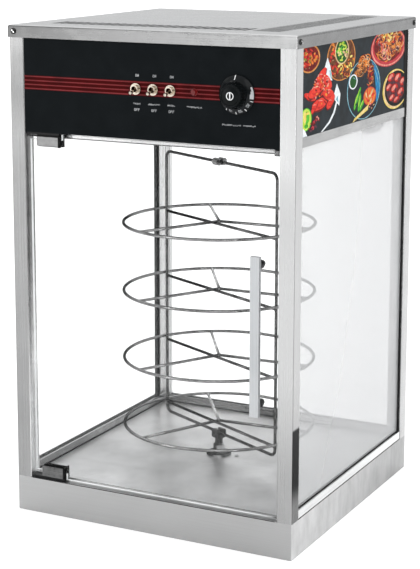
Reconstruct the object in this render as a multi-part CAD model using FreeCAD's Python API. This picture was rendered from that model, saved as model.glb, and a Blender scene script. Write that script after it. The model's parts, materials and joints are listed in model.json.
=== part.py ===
import FreeCAD, Part
import math
import os

# Countertop hot food display case with a turning four-tier rack.
# Frame: +Z up, front face towards -Y, origin at the centre of the resting face. Units: mm.

# ---------------------------------------------------------------- driving sizes
WIDTH = 480.0
DEPTH = 475.0
BODY_TOP = 756.0
LID_HEIGHT = 19.0
LID_OVERHANG = 2.5
BASE_HEIGHT = 56.0
SHEET = 1.5
POST = 25.0
EDGE_RADIUS = 1.5

CEILING_Z = 612.0
PANEL_BOTTOM_Z = 628.0
PANEL_TOP_Z = 770.0
RAIL_WIDTH = 14.0
RAIL_INSET = 0.5
BOTTOM_RAIL_TOP = 70.0
GROOVE = 6.0
GLASS = 4.0
DOOR_GLASS = 5.0

ROD_RADIUS = 2.5
RING_RADIUS = 155.5
TIER_HEIGHTS = (114.5, 226.5, 338.5, 450.5)
WELD_DEPTH = 0.05
FRAME_ANGLE = 153.0
FRAME_BOTTOM_Z = 94.0
FRAME_TOP_Z = 548.0
FRAME_CORNER = 16.0
SPOKE_ANGLES = (0.0, 120.0, 240.0)
TIER_TURNS = (4.0, 2.0, 1.5, 3.0)

SHAFT_RADIUS = 4.0
SHAFT_CLEARANCE = 0.1
HINGE_X = -190.0
DOOR_Y = -226.5
PIN_RADIUS = 3.0
PIN_CLEARANCE = 0.1

SWITCH_X = (-18.5, 10.5, 39.5)
CONTROL_Z = 687.5
LEVER_TILT = 16.0
PILOT_X = 78.5
KNOB_X = 147.5

HALF_W = WIDTH / 2.0
HALF_D = DEPTH / 2.0
LID_TOP = BODY_TOP + LID_HEIGHT
POST_IN_X = HALF_W - POST
POST_IN_Y = HALF_D - POST
PANEL_FRONT = -HALF_D + 1.0
PANEL_BACK = PANEL_FRONT + SHEET

# base, floor and drive
SCREW_RADIUS = 2.0
BOTTOM_SCREWS = [(sx * 231.0, sy * 180.0) for sx in (-1, 1) for sy in (-1, 1)]
GLAND_X = 170.0
GLAND_Z = 28.0
GLAND_RADIUS = 8.0
HEATER_RADIUS = 4.0
HEATER_Z = 44.0
CLIP_SPOTS = [(-160.0, 0.0), (160.0, 0.0), (0.0, -160.0)]
MOTOR_TOP = BASE_HEIGHT - 2.0
MOTOR_SCREWS = [(-33.0, 0.0), (33.0, 0.0)]
FLANGE_SCREWS = [(15.0 * math.cos(math.radians(a)), 15.0 * math.sin(math.radians(a)))
                 for a in (30.0, 120.0, 210.0, 300.0)]
FLANGE_RADIUS = 20.5
FLANGE_TOP = BASE_HEIGHT + SHEET + 3.0
BEARING_TOP = 74.0

# rails and glazing
RAIL_OUT = HALF_W - RAIL_INSET
RAIL_IN = RAIL_OUT - RAIL_WIDTH
GROOVE_OUT = HALF_W - 4.0
GROOVE_IN = GROOVE_OUT - GROOVE
GLASS_OUT = GROOVE_OUT - 1.0
GLASS_IN = GLASS_OUT - GLASS
STRIP_Y = 199.5

# lid and lamp
LID_SCREW_Z = 765.5
LID_SCREWS = [
    (-231.0, -HALF_D - LID_OVERHANG, FreeCAD.Vector(0, -1, 0)),
    (231.0, HALF_D + LID_OVERHANG, FreeCAD.Vector(0, 1, 0)),
    (HALF_W + LID_OVERHANG, -229.0, FreeCAD.Vector(1, 0, 0)),
    (HALF_W + LID_OVERHANG, 229.0, FreeCAD.Vector(1, 0, 0)),
    (-HALF_W - LID_OVERHANG, -229.0, FreeCAD.Vector(-1, 0, 0)),
    (-HALF_W - LID_OVERHANG, 229.0, FreeCAD.Vector(-1, 0, 0)),
]
VENT_LENGTH = 45.0
VENT_WIDTH = 5.0
VENT_PITCH = 13.0
LAMP_X = 195.0
LAMP_Y = 160.0
LAMP_SOCKET_RADIUS = 15.0
LAMP_TOP = CEILING_Z + SHEET

# controls
SWITCH_BUSH_RADIUS = 6.0
SWITCH_PIVOT_Y = PANEL_FRONT - 2.0
LEVER_POCKET = 4.5
PILOT_RADIUS = 4.0
KNOB_BUSH_RADIUS = 5.0
KNOB_SHAFT_RADIUS = 3.0
SKIRT_RADIUS = 28.5
SKIRT_BACK = PANEL_FRONT - 1.5
SKIRT_RIM = 1.0
SKIRT_SLOPE = 6.0
GRIP_RADIUS = 20.5
NOSE_RADIUS = 16.5
GRIP_LENGTH = 16.0
FLUTE_COUNT = 24
FLUTE_RADIUS = 1.8
FLUTE_CIRCLE = 20.8
FLUTE_LEAN = 3.6
CAP_RADIUS = 14.0
CAP_RECESS_Y = SKIRT_BACK - 22.0

# door
DOOR_X0 = -211.0
DOOR_X1 = 212.0
DOOR_Z0 = 58.5
DOOR_Z1 = 609.5
CLAMP_X0 = -196.0
CLAMP_X1 = -158.0
CLAMP_HEIGHT = 17.0
CLAMP_DEPTH = 16.0
CLAMP_WEB = 6.5
CLAMP_SCREW_X = (-187.0, -167.0)
STOP_RAIL_FRONT = -216.0
CATCH_Z = 600.5
LOWER_CLAMP_Z = 60.5
UPPER_CLAMP_Z = 608.0
PAD = 1.0
HANDLE_X = 182.5
HANDLE_Z0 = 216.0
HANDLE_Z1 = 456.0
STANDOFF_Z = (233.0, 442.0)
STANDOFF_LENGTH = 13.0

AXIS_X = FreeCAD.Vector(1, 0, 0)
AXIS_Y = FreeCAD.Vector(0, 1, 0)
AXIS_Z = FreeCAD.Vector(0, 0, 1)
ORIGIN = FreeCAD.Vector(0, 0, 0)
ACROSS = FreeCAD.Vector(0, -1, 0)


# ---------------------------------------------------------------- shape helpers
def box(x0, x1, y0, y1, z0, z1):
    corner = FreeCAD.Vector(min(x0, x1), min(y0, y1), min(z0, z1))
    return Part.makeBox(abs(x1 - x0), abs(y1 - y0), abs(z1 - z0), corner)


def rod(x, y, z, radius, length, axis):
    return Part.makeCylinder(radius, length, FreeCAD.Vector(x, y, z), axis)


def cone(x, y, z, radius_start, radius_end, length, axis):
    return Part.makeCone(radius_start, radius_end, length, FreeCAD.Vector(x, y, z), axis)


def ball(x, y, z, radius):
    return Part.makeSphere(radius, FreeCAD.Vector(x, y, z))


def turned(shape, angle, axis=AXIS_Z, centre=ORIGIN):
    copy = shape.copy()
    copy.rotate(centre, axis, angle)
    return copy


def mirrored_x(shape):
    return shape.mirror(ORIGIN, AXIS_X)


def joined(shapes):
    return shapes[0].multiFuse(shapes[1:]).removeSplitter()


def group(shapes):
    return Part.makeCompound(shapes)


def vertical_edges(shape):
    edges = []
    for edge in shape.Edges:
        direction = edge.tangentAt(edge.FirstParameter)
        if abs(abs(direction.z) - 1.0) < 1e-6:
            edges.append(edge)
    return edges


def soft_box(x0, x1, y0, y1, z0, z1, radius):
    block = box(x0, x1, y0, y1, z0, z1)
    return block.makeFillet(radius, vertical_edges(block))


def bent_rod(points, bend, radius, closed=False):
    count = len(points)
    pieces = []
    starts = []
    ends = []
    for index in range(count):
        corner = points[index]
        if not closed and index in (0, count - 1):
            starts.append(corner)
            ends.append(corner)
            continue
        before = (points[index - 1] - corner).normalize()
        after = (points[(index + 1) % count] - corner).normalize()
        arrive = corner + before * bend
        leave = corner + after * bend
        axis = before.cross(after) * -1
        circle = Part.Face(Part.Wire(Part.makeCircle(radius, arrive, before)))
        pieces.append(circle.revolve(arrive + leave - corner, axis, 90.0))
        starts.append(arrive)
        ends.append(leave)
    for index in range(count if closed else count - 1):
        run = starts[(index + 1) % count] - ends[index]
        pieces.append(Part.makeCylinder(radius, run.Length, ends[index], run.normalize()))
    return joined(pieces)


def slot_cutter(x, y, z0, z1, length, width, along_x):
    radius = width / 2.0
    half = length / 2.0 - radius
    if along_x:
        body = box(x - half, x + half, y - radius, y + radius, z0, z1)
        ends = [(x - half, y), (x + half, y)]
    else:
        body = box(x - radius, x + radius, y - half, y + half, z0, z1)
        ends = [(x, y - half), (x, y + half)]
    caps = [rod(px, py, z0, radius, z1 - z0, AXIS_Z) for px, py in ends]
    return body.multiFuse(caps)


def pan_screw(x, y, z, axis, head_radius, head_height, shank_radius, shank_length):
    head = rod(x, y, z, head_radius, head_height, axis)
    rim = head.Edges[0]
    for edge in head.Edges:
        centre = edge.CenterOfMass - FreeCAD.Vector(x, y, z)
        if centre.dot(axis) > head_height * 0.9:
            rim = edge
    head = head.makeFillet(head_height * 0.45, [rim])
    shank = rod(x, y, z, shank_radius, shank_length, axis * -1)
    return head.fuse(shank)


# ---------------------------------------------------------------- base
def make_base_skirt():
    hem = 14.0
    ledge = 30.0
    outer = soft_box(-HALF_W, HALF_W, -HALF_D, HALF_D, 0, BASE_HEIGHT, EDGE_RADIUS)
    hollow = box(-HALF_W + SHEET, HALF_W - SHEET, -HALF_D + SHEET, HALF_D - SHEET,
                 2 * SHEET, BASE_HEIGHT - SHEET)
    underside = box(-HALF_W + SHEET, HALF_W - SHEET, -HALF_D + SHEET, HALF_D - SHEET, 0, SHEET)
    mouth = box(-HALF_W + hem, HALF_W - hem, -HALF_D + hem, HALF_D - hem, 0, 3 * SHEET)
    top = box(-HALF_W + ledge, HALF_W - ledge, -HALF_D + ledge, HALF_D - ledge,
              BASE_HEIGHT - 2 * SHEET, BASE_HEIGHT)
    gland = rod(GLAND_X, HALF_D - 2 * SHEET, GLAND_Z, GLAND_RADIUS, 3 * SHEET, AXIS_Y)
    bolts = [rod(x, y, SHEET, SCREW_RADIUS, SHEET, AXIS_Z) for x, y in BOTTOM_SCREWS]
    return outer.cut([hollow, underside, mouth, top, gland] + bolts)


def make_bottom_plate():
    gap = 0.5
    plate = box(-HALF_W + SHEET + gap, HALF_W - SHEET - gap, -HALF_D + SHEET + gap,
                HALF_D - SHEET - gap, 0, SHEET)
    holes = [cone(x, y, 0, 2 * SCREW_RADIUS, SCREW_RADIUS, SHEET, AXIS_Z) for x, y in BOTTOM_SCREWS]
    return plate.cut(holes)


def make_bottom_screws():
    screws = []
    for x, y in BOTTOM_SCREWS:
        head = cone(x, y, 0, 2 * SCREW_RADIUS, SCREW_RADIUS, SHEET, AXIS_Z)
        shank = rod(x, y, SHEET, SCREW_RADIUS, 7.0, AXIS_Z)
        screws.append(head.fuse(shank))
    return screws


def cross_plate(z, front_y, back_y):
    side = HALF_W - RAIL_INSET - RAIL_WIDTH
    tongue = POST_IN_X - 0.5
    wide = box(-side, side, -POST_IN_Y + 0.5, POST_IN_Y - 0.5, z, z + SHEET)
    long = box(-tongue, tongue, front_y, back_y, z, z + SHEET)
    return joined([wide, long])


def make_floor_plate():
    plate = cross_plate(BASE_HEIGHT, -214.0, HALF_D - 15.0)
    opening = rod(0, 0, BASE_HEIGHT - SHEET, 7.0, 4 * SHEET, AXIS_Z)
    holes = [rod(x, y, BASE_HEIGHT - SHEET, SCREW_RADIUS, 4 * SHEET, AXIS_Z)
             for x, y in FLANGE_SCREWS + MOTOR_SCREWS]
    return plate.cut([opening] + holes)


def make_cable_gland():
    collar = rod(GLAND_X, HALF_D, GLAND_Z, 11.0, 5.0, AXIS_Y)
    dome = cone(GLAND_X, HALF_D + 5.0, GLAND_Z, 10.0, 7.0, 9.0, AXIS_Y)
    neck = rod(GLAND_X, HALF_D - 9.0, GLAND_Z, GLAND_RADIUS, 9.0, AXIS_Y)
    nut = rod(GLAND_X, HALF_D - SHEET - 5.0, GLAND_Z, 11.0, 5.0, AXIS_Y)
    bore = rod(GLAND_X, HALF_D - 10.0, GLAND_Z, 4.0, 30.0, AXIS_Y)
    return joined([collar, dome, neck, nut]).cut(bore)


def make_heater_tube():
    reach = 160.0
    bend = 18.0
    points = [(-20, 200), (-20, 160), (-reach, 160), (-reach, -160), (reach, -160), (reach, 160),
              (20, 160), (20, 200)]
    corners = [FreeCAD.Vector(x, y, HEATER_Z) for x, y in points]
    return bent_rod(corners, bend, HEATER_RADIUS)


def make_heater_clips():
    clips = []
    for x, y in CLIP_SPOTS:
        along = AXIS_X if abs(y) > abs(x) else AXIS_Y
        block = box(x - 7, x + 7, y - 7, y + 7, 37.0, BASE_HEIGHT)
        bore = rod(x - 10 * along.x, y - 10 * along.y, HEATER_Z, HEATER_RADIUS, 20.0, along)
        clips.append(block.cut(bore))
    return clips


# ---------------------------------------------------------------- frame posts and rails
def lid_screw_hole(x, y, axis):
    start = FreeCAD.Vector(x, y, LID_SCREW_Z) - axis * 5.0
    return Part.makeCylinder(SCREW_RADIUS, 10.0, start, axis)


def make_post(side_x, side_y):
    x0 = side_x * HALF_W
    x1 = side_x * POST_IN_X
    y0 = side_y * HALF_D
    y1 = side_y * POST_IN_Y
    outer = soft_box(x0, x1, y0, y1, BASE_HEIGHT, LID_TOP - SHEET, EDGE_RADIUS)
    inner = box(x0 - side_x * SHEET, x1 + side_x * SHEET, y0 - side_y * SHEET, y1 + side_y * SHEET,
                BASE_HEIGHT, LID_TOP - SHEET)
    near = [screw for screw in LID_SCREWS if screw[0] * side_x > 0 and screw[1] * side_y > 0]
    holes = [lid_screw_hole(*screw) for screw in near]
    return outer.cut([inner] + holes)


def make_bottom_rail_right():
    rail = box(RAIL_IN, RAIL_OUT, -POST_IN_Y, POST_IN_Y, BASE_HEIGHT, BOTTOM_RAIL_TOP)
    groove = box(GROOVE_IN, GROOVE_OUT, -POST_IN_Y, POST_IN_Y, BOTTOM_RAIL_TOP - 8, BOTTOM_RAIL_TOP)
    return rail.cut(groove)


def make_top_rail_right():
    rail = box(RAIL_IN, RAIL_OUT, -POST_IN_Y, STRIP_Y, CEILING_Z + 1, PANEL_BOTTOM_Z)
    groove = box(GROOVE_IN, GROOVE_OUT, -POST_IN_Y, STRIP_Y, CEILING_Z + 1, CEILING_Z + 9)
    return rail.cut(groove)


def make_bottom_rail_rear():
    y0 = HALF_D - 1.0 - RAIL_WIDTH
    y1 = HALF_D - 1.0
    rail = box(-POST_IN_X, POST_IN_X, y0, y1, BASE_HEIGHT, BOTTOM_RAIL_TOP)
    groove = box(-POST_IN_X, POST_IN_X, y0 + 4, y0 + 4 + GROOVE, BOTTOM_RAIL_TOP - 8, BOTTOM_RAIL_TOP)
    return rail.cut(groove)


def make_top_rail_rear():
    y0 = HALF_D - 1.0 - RAIL_WIDTH
    y1 = HALF_D - 1.0
    rail = box(-POST_IN_X, POST_IN_X, y0, y1, CEILING_Z + 1, PANEL_BOTTOM_Z)
    groove = box(-POST_IN_X, POST_IN_X, y0 + 4, y0 + 4 + GROOVE, CEILING_Z + 1, CEILING_Z + 9)
    return rail.cut(groove)


def make_door_stop_rail():
    back = STOP_RAIL_FRONT + 10.0
    outer = box(-POST_IN_X, POST_IN_X, STOP_RAIL_FRONT, back, CEILING_Z - 10, CEILING_Z)
    inner = box(-POST_IN_X, POST_IN_X, STOP_RAIL_FRONT + SHEET, back - SHEET, CEILING_Z - 10 + SHEET,
                CEILING_Z - SHEET)
    return outer.cut(inner)


# ---------------------------------------------------------------- glazing
def make_side_gasket_right():
    foot = box(GROOVE_IN, GROOVE_OUT, -POST_IN_Y, POST_IN_Y, BOTTOM_RAIL_TOP - 8, BOTTOM_RAIL_TOP + 1.5)
    upright = box(GROOVE_IN, GROOVE_OUT, 207.0, POST_IN_Y, BOTTOM_RAIL_TOP, CEILING_Z + 1)
    strip = box(GROOVE_IN, GROOVE_OUT + 2.5, STRIP_Y, POST_IN_Y, CEILING_Z + 1, PANEL_TOP_Z)
    slot = box(GLASS_IN, GLASS_OUT, -POST_IN_Y, 209.0, BOTTOM_RAIL_TOP - 6, CEILING_Z + 9)
    return joined([foot, upright, strip]).cut(slot)


def make_glass_gaskets():
    right = make_side_gasket_right()
    return group([right, mirrored_x(right), make_rear_gasket()])


def make_rear_gasket():
    y0 = HALF_D - 1.0 - RAIL_WIDTH + 4.0
    foot = box(-POST_IN_X, POST_IN_X, y0, y0 + GROOVE, BOTTOM_RAIL_TOP - 8, BOTTOM_RAIL_TOP + 1.5)
    slot = box(-POST_IN_X, POST_IN_X, y0 + 1, y0 + 1 + GLASS, BOTTOM_RAIL_TOP - 6, BOTTOM_RAIL_TOP + 2)
    return foot.cut(slot)


def make_side_glass_right():
    return box(GLASS_IN, GLASS_OUT, -POST_IN_Y, 209.0, BOTTOM_RAIL_TOP - 6, CEILING_Z + 8)


def make_rear_glass():
    y0 = HALF_D - 1.0 - RAIL_WIDTH + 5.0
    return box(-POST_IN_X + 0.5, POST_IN_X - 0.5, y0, y0 + GLASS, BOTTOM_RAIL_TOP - 6, CEILING_Z + 8)


# ---------------------------------------------------------------- head housing
def make_control_fascia():
    face = box(-POST_IN_X, POST_IN_X, PANEL_FRONT, PANEL_BACK, CEILING_Z, PANEL_TOP_Z)
    lip = box(-POST_IN_X, POST_IN_X, PANEL_FRONT, -213.0, CEILING_Z, CEILING_Z + SHEET)
    holes = [rod(x, PANEL_FRONT - 5, CONTROL_Z, SWITCH_BUSH_RADIUS, 15.0, AXIS_Y) for x in SWITCH_X]
    holes.append(rod(PILOT_X, PANEL_FRONT - 5, CONTROL_Z, PILOT_RADIUS, 15.0, AXIS_Y))
    holes.append(rod(KNOB_X, PANEL_FRONT - 5, CONTROL_Z, KNOB_BUSH_RADIUS, 15.0, AXIS_Y))
    return joined([face, lip]).cut(holes)


def make_side_panel_right():
    return box(HALF_W - 2.5, HALF_W - 1.0, -POST_IN_Y, STRIP_Y, PANEL_BOTTOM_Z, PANEL_TOP_Z)


def make_rear_panel():
    return box(-POST_IN_X, POST_IN_X, HALF_D - 2.5, HALF_D - 1.0, PANEL_BOTTOM_Z, PANEL_TOP_Z)


def make_ceiling_plate():
    plate = cross_plate(CEILING_Z + SHEET, -234.0, HALF_D - 15.0)
    opening = rod(LAMP_X, LAMP_Y, CEILING_Z, LAMP_SOCKET_RADIUS, 10.0, AXIS_Z)
    return plate.cut(opening)


def make_lid():
    corner = 3.0
    bend = 3.5
    out_x = HALF_W + LID_OVERHANG
    out_y = HALF_D + LID_OVERHANG
    outer = soft_box(-out_x, out_x, -out_y, out_y, BODY_TOP, LID_TOP, corner)
    top_edges = [edge for edge in outer.Edges if edge.BoundBox.ZMin > LID_TOP - 0.01]
    outer = outer.makeFillet(bend, top_edges)
    inner = soft_box(-out_x + SHEET, out_x - SHEET, -out_y + SHEET, out_y - SHEET,
                     BODY_TOP - 1, LID_TOP - SHEET, corner - SHEET)
    cutters = [inner]
    low = BODY_TOP + 5.0
    high = LID_TOP + 1.0
    for index in range(26):
        x = -195.0 + index * VENT_PITCH
        cutters.append(slot_cutter(x, -160.5, low, high, VENT_LENGTH, VENT_WIDTH, False))
    for index in range(30):
        y = -180.0 + index * VENT_PITCH
        cutters.append(slot_cutter(167.5, y, low, high, VENT_LENGTH, VENT_WIDTH, True))
    cutters += [lid_screw_hole(*screw) for screw in LID_SCREWS]
    return outer.cut(cutters)


def make_lid_screws():
    return [pan_screw(x, y, LID_SCREW_Z, axis, 4.2, 2.4, SCREW_RADIUS, 4.5)
            for x, y, axis in LID_SCREWS]


def make_lamp_holder():
    flange = rod(LAMP_X, LAMP_Y, LAMP_TOP - 4.0, 28.0, 4.0, AXIS_Z)
    socket = rod(LAMP_X, LAMP_Y, LAMP_TOP - 4.0, LAMP_SOCKET_RADIUS, 46.0, AXIS_Z)
    bore = rod(LAMP_X, LAMP_Y, LAMP_TOP - 5.0, 8.0, 40.0, AXIS_Z)
    return joined([flange, socket]).cut(bore)


def make_lamp_dome():
    outer_radius = 24.0
    wall = 2.0
    top = LAMP_TOP - 4.0
    outer = ball(LAMP_X, LAMP_Y, top, outer_radius)
    inner = ball(LAMP_X, LAMP_Y, top, outer_radius - wall)
    above = box(LAMP_X - 30, LAMP_X + 30, LAMP_Y - 30, LAMP_Y + 30, top, top + 30)
    return outer.cut([inner, above])


def make_lamp_bulb():
    glass_z = LAMP_TOP - 12.0
    globe = ball(LAMP_X, LAMP_Y, glass_z, 9.0)
    neck = rod(LAMP_X, LAMP_Y, glass_z, 7.0, 34.0, AXIS_Z)
    return joined([globe, neck])


# ---------------------------------------------------------------- controls


def make_toggle_switches():
    bodies = []
    for x in SWITCH_X:
        case = box(x - 7.5, x + 7.5, PANEL_BACK, PANEL_BACK + 22.0, CONTROL_Z - 14, CONTROL_Z + 14)
        bush = rod(x, PANEL_FRONT - 7.5, CONTROL_Z, SWITCH_BUSH_RADIUS, 12.0, AXIS_Y)
        pocket = rod(x, PANEL_FRONT - 8.5, CONTROL_Z, LEVER_POCKET, 14.0, AXIS_Y)
        tabs = [box(x - 0.4, x + 0.4, PANEL_BACK + 21.0, PANEL_BACK + 29.0,
                    CONTROL_Z + z - 3, CONTROL_Z + z + 3) for z in (-8, 8)]
        bodies.append(joined([case, bush] + tabs).cut(pocket))
        ring = rod(x, PANEL_FRONT - 3.0, CONTROL_Z, 8.5, 3.0, AXIS_Y)
        bore = rod(x, PANEL_FRONT - 4.0, CONTROL_Z, SWITCH_BUSH_RADIUS, 5.0, AXIS_Y)
        bodies.append(ring.cut(bore))
    return group(bodies)


def make_toggle(x):
    pivot = FreeCAD.Vector(x, SWITCH_PIVOT_Y, CONTROL_Z)
    bead = ball(x, SWITCH_PIVOT_Y, CONTROL_Z, 3.2)
    stem = cone(x, SWITCH_PIVOT_Y, CONTROL_Z, 1.9, 2.8, 16.0, ACROSS)
    tip = ball(x, SWITCH_PIVOT_Y - 16.0, CONTROL_Z, 2.8)
    reach = LEVER_POCKET - 0.4
    axle = rod(x - reach, SWITCH_PIVOT_Y, CONTROL_Z, 1.2, 2 * reach, AXIS_X)
    return turned(joined([bead, stem, tip, axle]), LEVER_TILT, AXIS_X, pivot)


def make_pilot_lamp():
    rim = rod(PILOT_X, PANEL_FRONT, CONTROL_Z, 5.5, 1.5, ACROSS)
    dome = cone(PILOT_X, PANEL_FRONT - 1.5, CONTROL_Z, 4.8, 3.6, 3.5, ACROSS)
    body = rod(PILOT_X, PANEL_FRONT, CONTROL_Z, PILOT_RADIUS, 26.0, AXIS_Y)
    return joined([rim, dome, body])


def make_thermostat_body():
    case = box(KNOB_X - 20, KNOB_X + 20, PANEL_BACK, PANEL_BACK + 32.0, CONTROL_Z - 16, CONTROL_Z + 16)
    bush = rod(KNOB_X, PANEL_FRONT - 1.0, CONTROL_Z, KNOB_BUSH_RADIUS, 5.0, AXIS_Y)
    bore = rod(KNOB_X, PANEL_FRONT - 2.0, CONTROL_Z, KNOB_SHAFT_RADIUS + 0.1, 16.0, AXIS_Y)
    tabs = [box(KNOB_X + dx - 3, KNOB_X + dx + 3, PANEL_BACK + 31.0, PANEL_BACK + 40.0,
                CONTROL_Z + 6.0, CONTROL_Z + 6.8) for dx in (-10, 10)]
    return joined([case, bush] + tabs).cut(bore)


def make_thermostat_shaft():
    return rod(KNOB_X, PANEL_FRONT + 9.0, CONTROL_Z, KNOB_SHAFT_RADIUS, 27.0, ACROSS)


def make_knob():
    rim = rod(KNOB_X, SKIRT_BACK, CONTROL_Z, SKIRT_RADIUS, SKIRT_RIM, ACROSS)
    slope = cone(KNOB_X, SKIRT_BACK - SKIRT_RIM, CONTROL_Z, SKIRT_RADIUS, GRIP_RADIUS, SKIRT_SLOPE, ACROSS)
    root = SKIRT_BACK - SKIRT_RIM - SKIRT_SLOPE
    grip = cone(KNOB_X, root, CONTROL_Z, GRIP_RADIUS, NOSE_RADIUS, GRIP_LENGTH, ACROSS)
    flutes = []
    for index in range(FLUTE_COUNT):
        angle = math.radians(360.0 / FLUTE_COUNT * (index + 0.5))
        out = FreeCAD.Vector(math.cos(angle), 0.0, math.sin(angle))
        start = FreeCAD.Vector(KNOB_X, root - 1.0, CONTROL_Z) + out * FLUTE_CIRCLE
        lean = ACROSS * GRIP_LENGTH - out * FLUTE_LEAN
        flutes.append(Part.makeCylinder(FLUTE_RADIUS, GRIP_LENGTH + 2.0, start, lean))
    bore = rod(KNOB_X, SKIRT_BACK + 1.0, CONTROL_Z, KNOB_SHAFT_RADIUS, 17.0 + 1.0, ACROSS)
    recess = rod(KNOB_X, CAP_RECESS_Y, CONTROL_Z, CAP_RADIUS, 3.0, ACROSS)
    return joined([rim, slope, grip.cut(flutes)]).cut([bore, recess])


def make_knob_cap():
    return rod(KNOB_X, CAP_RECESS_Y, CONTROL_Z, CAP_RADIUS, 1.4, ACROSS)


# ---------------------------------------------------------------- rack drive


def make_gear_motor():
    case = rod(0, 0, MOTOR_TOP - 21.0, 25.0, 21.0, AXIS_Z)
    ears = box(-39.0, 39.0, -6.0, 6.0, MOTOR_TOP - 2.0, MOTOR_TOP)
    pads = [rod(x, y, MOTOR_TOP - 2.0, 5.0, 4.0, AXIS_Z) for x, y in MOTOR_SCREWS]
    bore = rod(0, 0, MOTOR_TOP - 14.0, SHAFT_RADIUS + SHAFT_CLEARANCE, 20.0, AXIS_Z)
    holes = [rod(x, y, MOTOR_TOP - 4.0, SCREW_RADIUS, 10.0, AXIS_Z) for x, y in MOTOR_SCREWS]
    terminals = [box(x - 3, x + 3, 24.0, 32.0, MOTOR_TOP - 12.0, MOTOR_TOP - 11.2) for x in (-7, 7)]
    return joined([case, ears] + pads + terminals).cut([bore] + holes)


def make_motor_screws():
    top = BASE_HEIGHT + SHEET
    return [pan_screw(x, y, top, AXIS_Z, 3.6, 2.0, SCREW_RADIUS, 8.0) for x, y in MOTOR_SCREWS]


def make_spindle_bearing():
    disc = rod(0, 0, BASE_HEIGHT + SHEET, FLANGE_RADIUS, 3.0, AXIS_Z)
    tube = rod(0, 0, BASE_HEIGHT + SHEET, 9.0, BEARING_TOP - BASE_HEIGHT - SHEET, AXIS_Z)
    bore = rod(0, 0, BASE_HEIGHT, SHAFT_RADIUS + SHAFT_CLEARANCE, 30.0, AXIS_Z)
    holes = [rod(x, y, BASE_HEIGHT, SCREW_RADIUS, 10.0, AXIS_Z) for x, y in FLANGE_SCREWS]
    return joined([disc, tube]).cut([bore] + holes)


def make_flange_screws():
    length = FLANGE_TOP - MOTOR_TOP - 0.5
    return [pan_screw(x, y, FLANGE_TOP, AXIS_Z, 3.6, 2.0, SCREW_RADIUS, length)
            for x, y in FLANGE_SCREWS]


def make_spindle_shaft():
    return rod(0, 0, MOTOR_TOP - 13.0, SHAFT_RADIUS, 88.0 - MOTOR_TOP + 13.0, AXIS_Z)


def saddle(z_bar, z_bottom, neck_bottom):
    ear_top = z_bar + 6.5
    block = box(-6.0, 6.0, -10.5, 10.5, z_bottom, ear_top)
    edges = [edge for edge in block.Edges if abs(abs(edge.tangentAt(edge.FirstParameter).x) - 1) < 1e-6]
    block = block.makeFillet(4.5, edges)
    groove = box(-7.0, 7.0, -ROD_RADIUS, ROD_RADIUS, z_bar, ear_top + 1)
    seat = rod(-7.0, 0, z_bar, ROD_RADIUS, 14.0, AXIS_X)
    parts = [block]
    if neck_bottom < z_bottom:
        parts.append(rod(0, 0, neck_bottom, 6.5, z_bottom - neck_bottom + 2.0, AXIS_Z))
    shape = joined(parts).cut([groove, seat])
    return turned(shape, FRAME_ANGLE)


def make_hub_saddle():
    shape = saddle(FRAME_BOTTOM_Z, 85.0, 75.5)
    bore = rod(0, 0, 70.0, SHAFT_RADIUS, 18.0, AXIS_Z)
    return shape.cut(bore)


def make_top_saddle():
    return saddle(FRAME_TOP_Z, FRAME_TOP_Z - 5.0, FRAME_TOP_Z)


# ---------------------------------------------------------------- rack
def make_rack_frame():
    reach = RING_RADIUS - 2 * ROD_RADIUS + WELD_DEPTH
    low = FRAME_BOTTOM_Z
    high = FRAME_TOP_Z
    corners = [(-reach, low), (reach, low), (reach, high), (-reach, high)]
    hoop = bent_rod([FreeCAD.Vector(x, 0, z) for x, z in corners], FRAME_CORNER, ROD_RADIUS, True)
    bars = [rod(-reach, 0, z - 2 * ROD_RADIUS + WELD_DEPTH, ROD_RADIUS - 0.1, 2 * reach, AXIS_X)
            for z in TIER_HEIGHTS]
    return turned(joined([hoop] + bars), FRAME_ANGLE)


def make_ring_shelf(z, turn):
    ring = Part.makeTorus(RING_RADIUS, ROD_RADIUS, FreeCAD.Vector(0, 0, z), AXIS_Z)
    spokes = [turned(rod(0, 0, z, ROD_RADIUS - 0.1, RING_RADIUS, AXIS_X), angle + turn)
              for angle in SPOKE_ANGLES]
    hub = ball(0, 0, z, ROD_RADIUS)
    return joined([ring, hub] + spokes)


# ---------------------------------------------------------------- door


def clamp_levels(lower):
    edge = LOWER_CLAMP_Z if lower else UPPER_CLAMP_Z
    sign = 1.0 if lower else -1.0
    return edge, sign


def make_door_glass():
    y0 = DOOR_Y - DOOR_GLASS / 2
    pane = box(DOOR_X0, DOOR_X1, y0, y0 + DOOR_GLASS, DOOR_Z0, DOOR_Z1)
    cutters = []
    for lower in (True, False):
        edge, sign = clamp_levels(lower)
        notch_top = edge + sign * (CLAMP_WEB + PAD)
        cutters.append(box(DOOR_X0 - 1, CLAMP_X1 + 3.5, y0 - 1, y0 + DOOR_GLASS + 1,
                           edge - sign * 6, notch_top))
    for z in STANDOFF_Z:
        cutters.append(rod(HANDLE_X, y0 - 1, z, SCREW_RADIUS, DOOR_GLASS + 2, AXIS_Y))
    return pane.cut(cutters)


def make_hinge_clamp(lower):
    edge, sign = clamp_levels(lower)
    y0 = DOOR_Y - CLAMP_DEPTH / 2
    y1 = DOOR_Y + CLAMP_DEPTH / 2
    body = box(CLAMP_X0, CLAMP_X1, y0, y1, edge, edge + sign * CLAMP_HEIGHT)
    half_slot = DOOR_GLASS / 2 + PAD
    slot = box(CLAMP_X0 - 1, CLAMP_X1 + 1, DOOR_Y - half_slot, DOOR_Y + half_slot,
               edge + sign * CLAMP_WEB, edge + sign * (CLAMP_HEIGHT + 1))
    socket = rod(HINGE_X, DOOR_Y, edge - sign, PIN_RADIUS + PIN_CLEARANCE, 7.0, AXIS_Z * sign)
    holes = [rod(x, DOOR_Y, edge + sign * 12.0, 2.0, 10.0, AXIS_Y) for x in CLAMP_SCREW_X]
    return body.cut([slot, socket] + holes)


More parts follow.
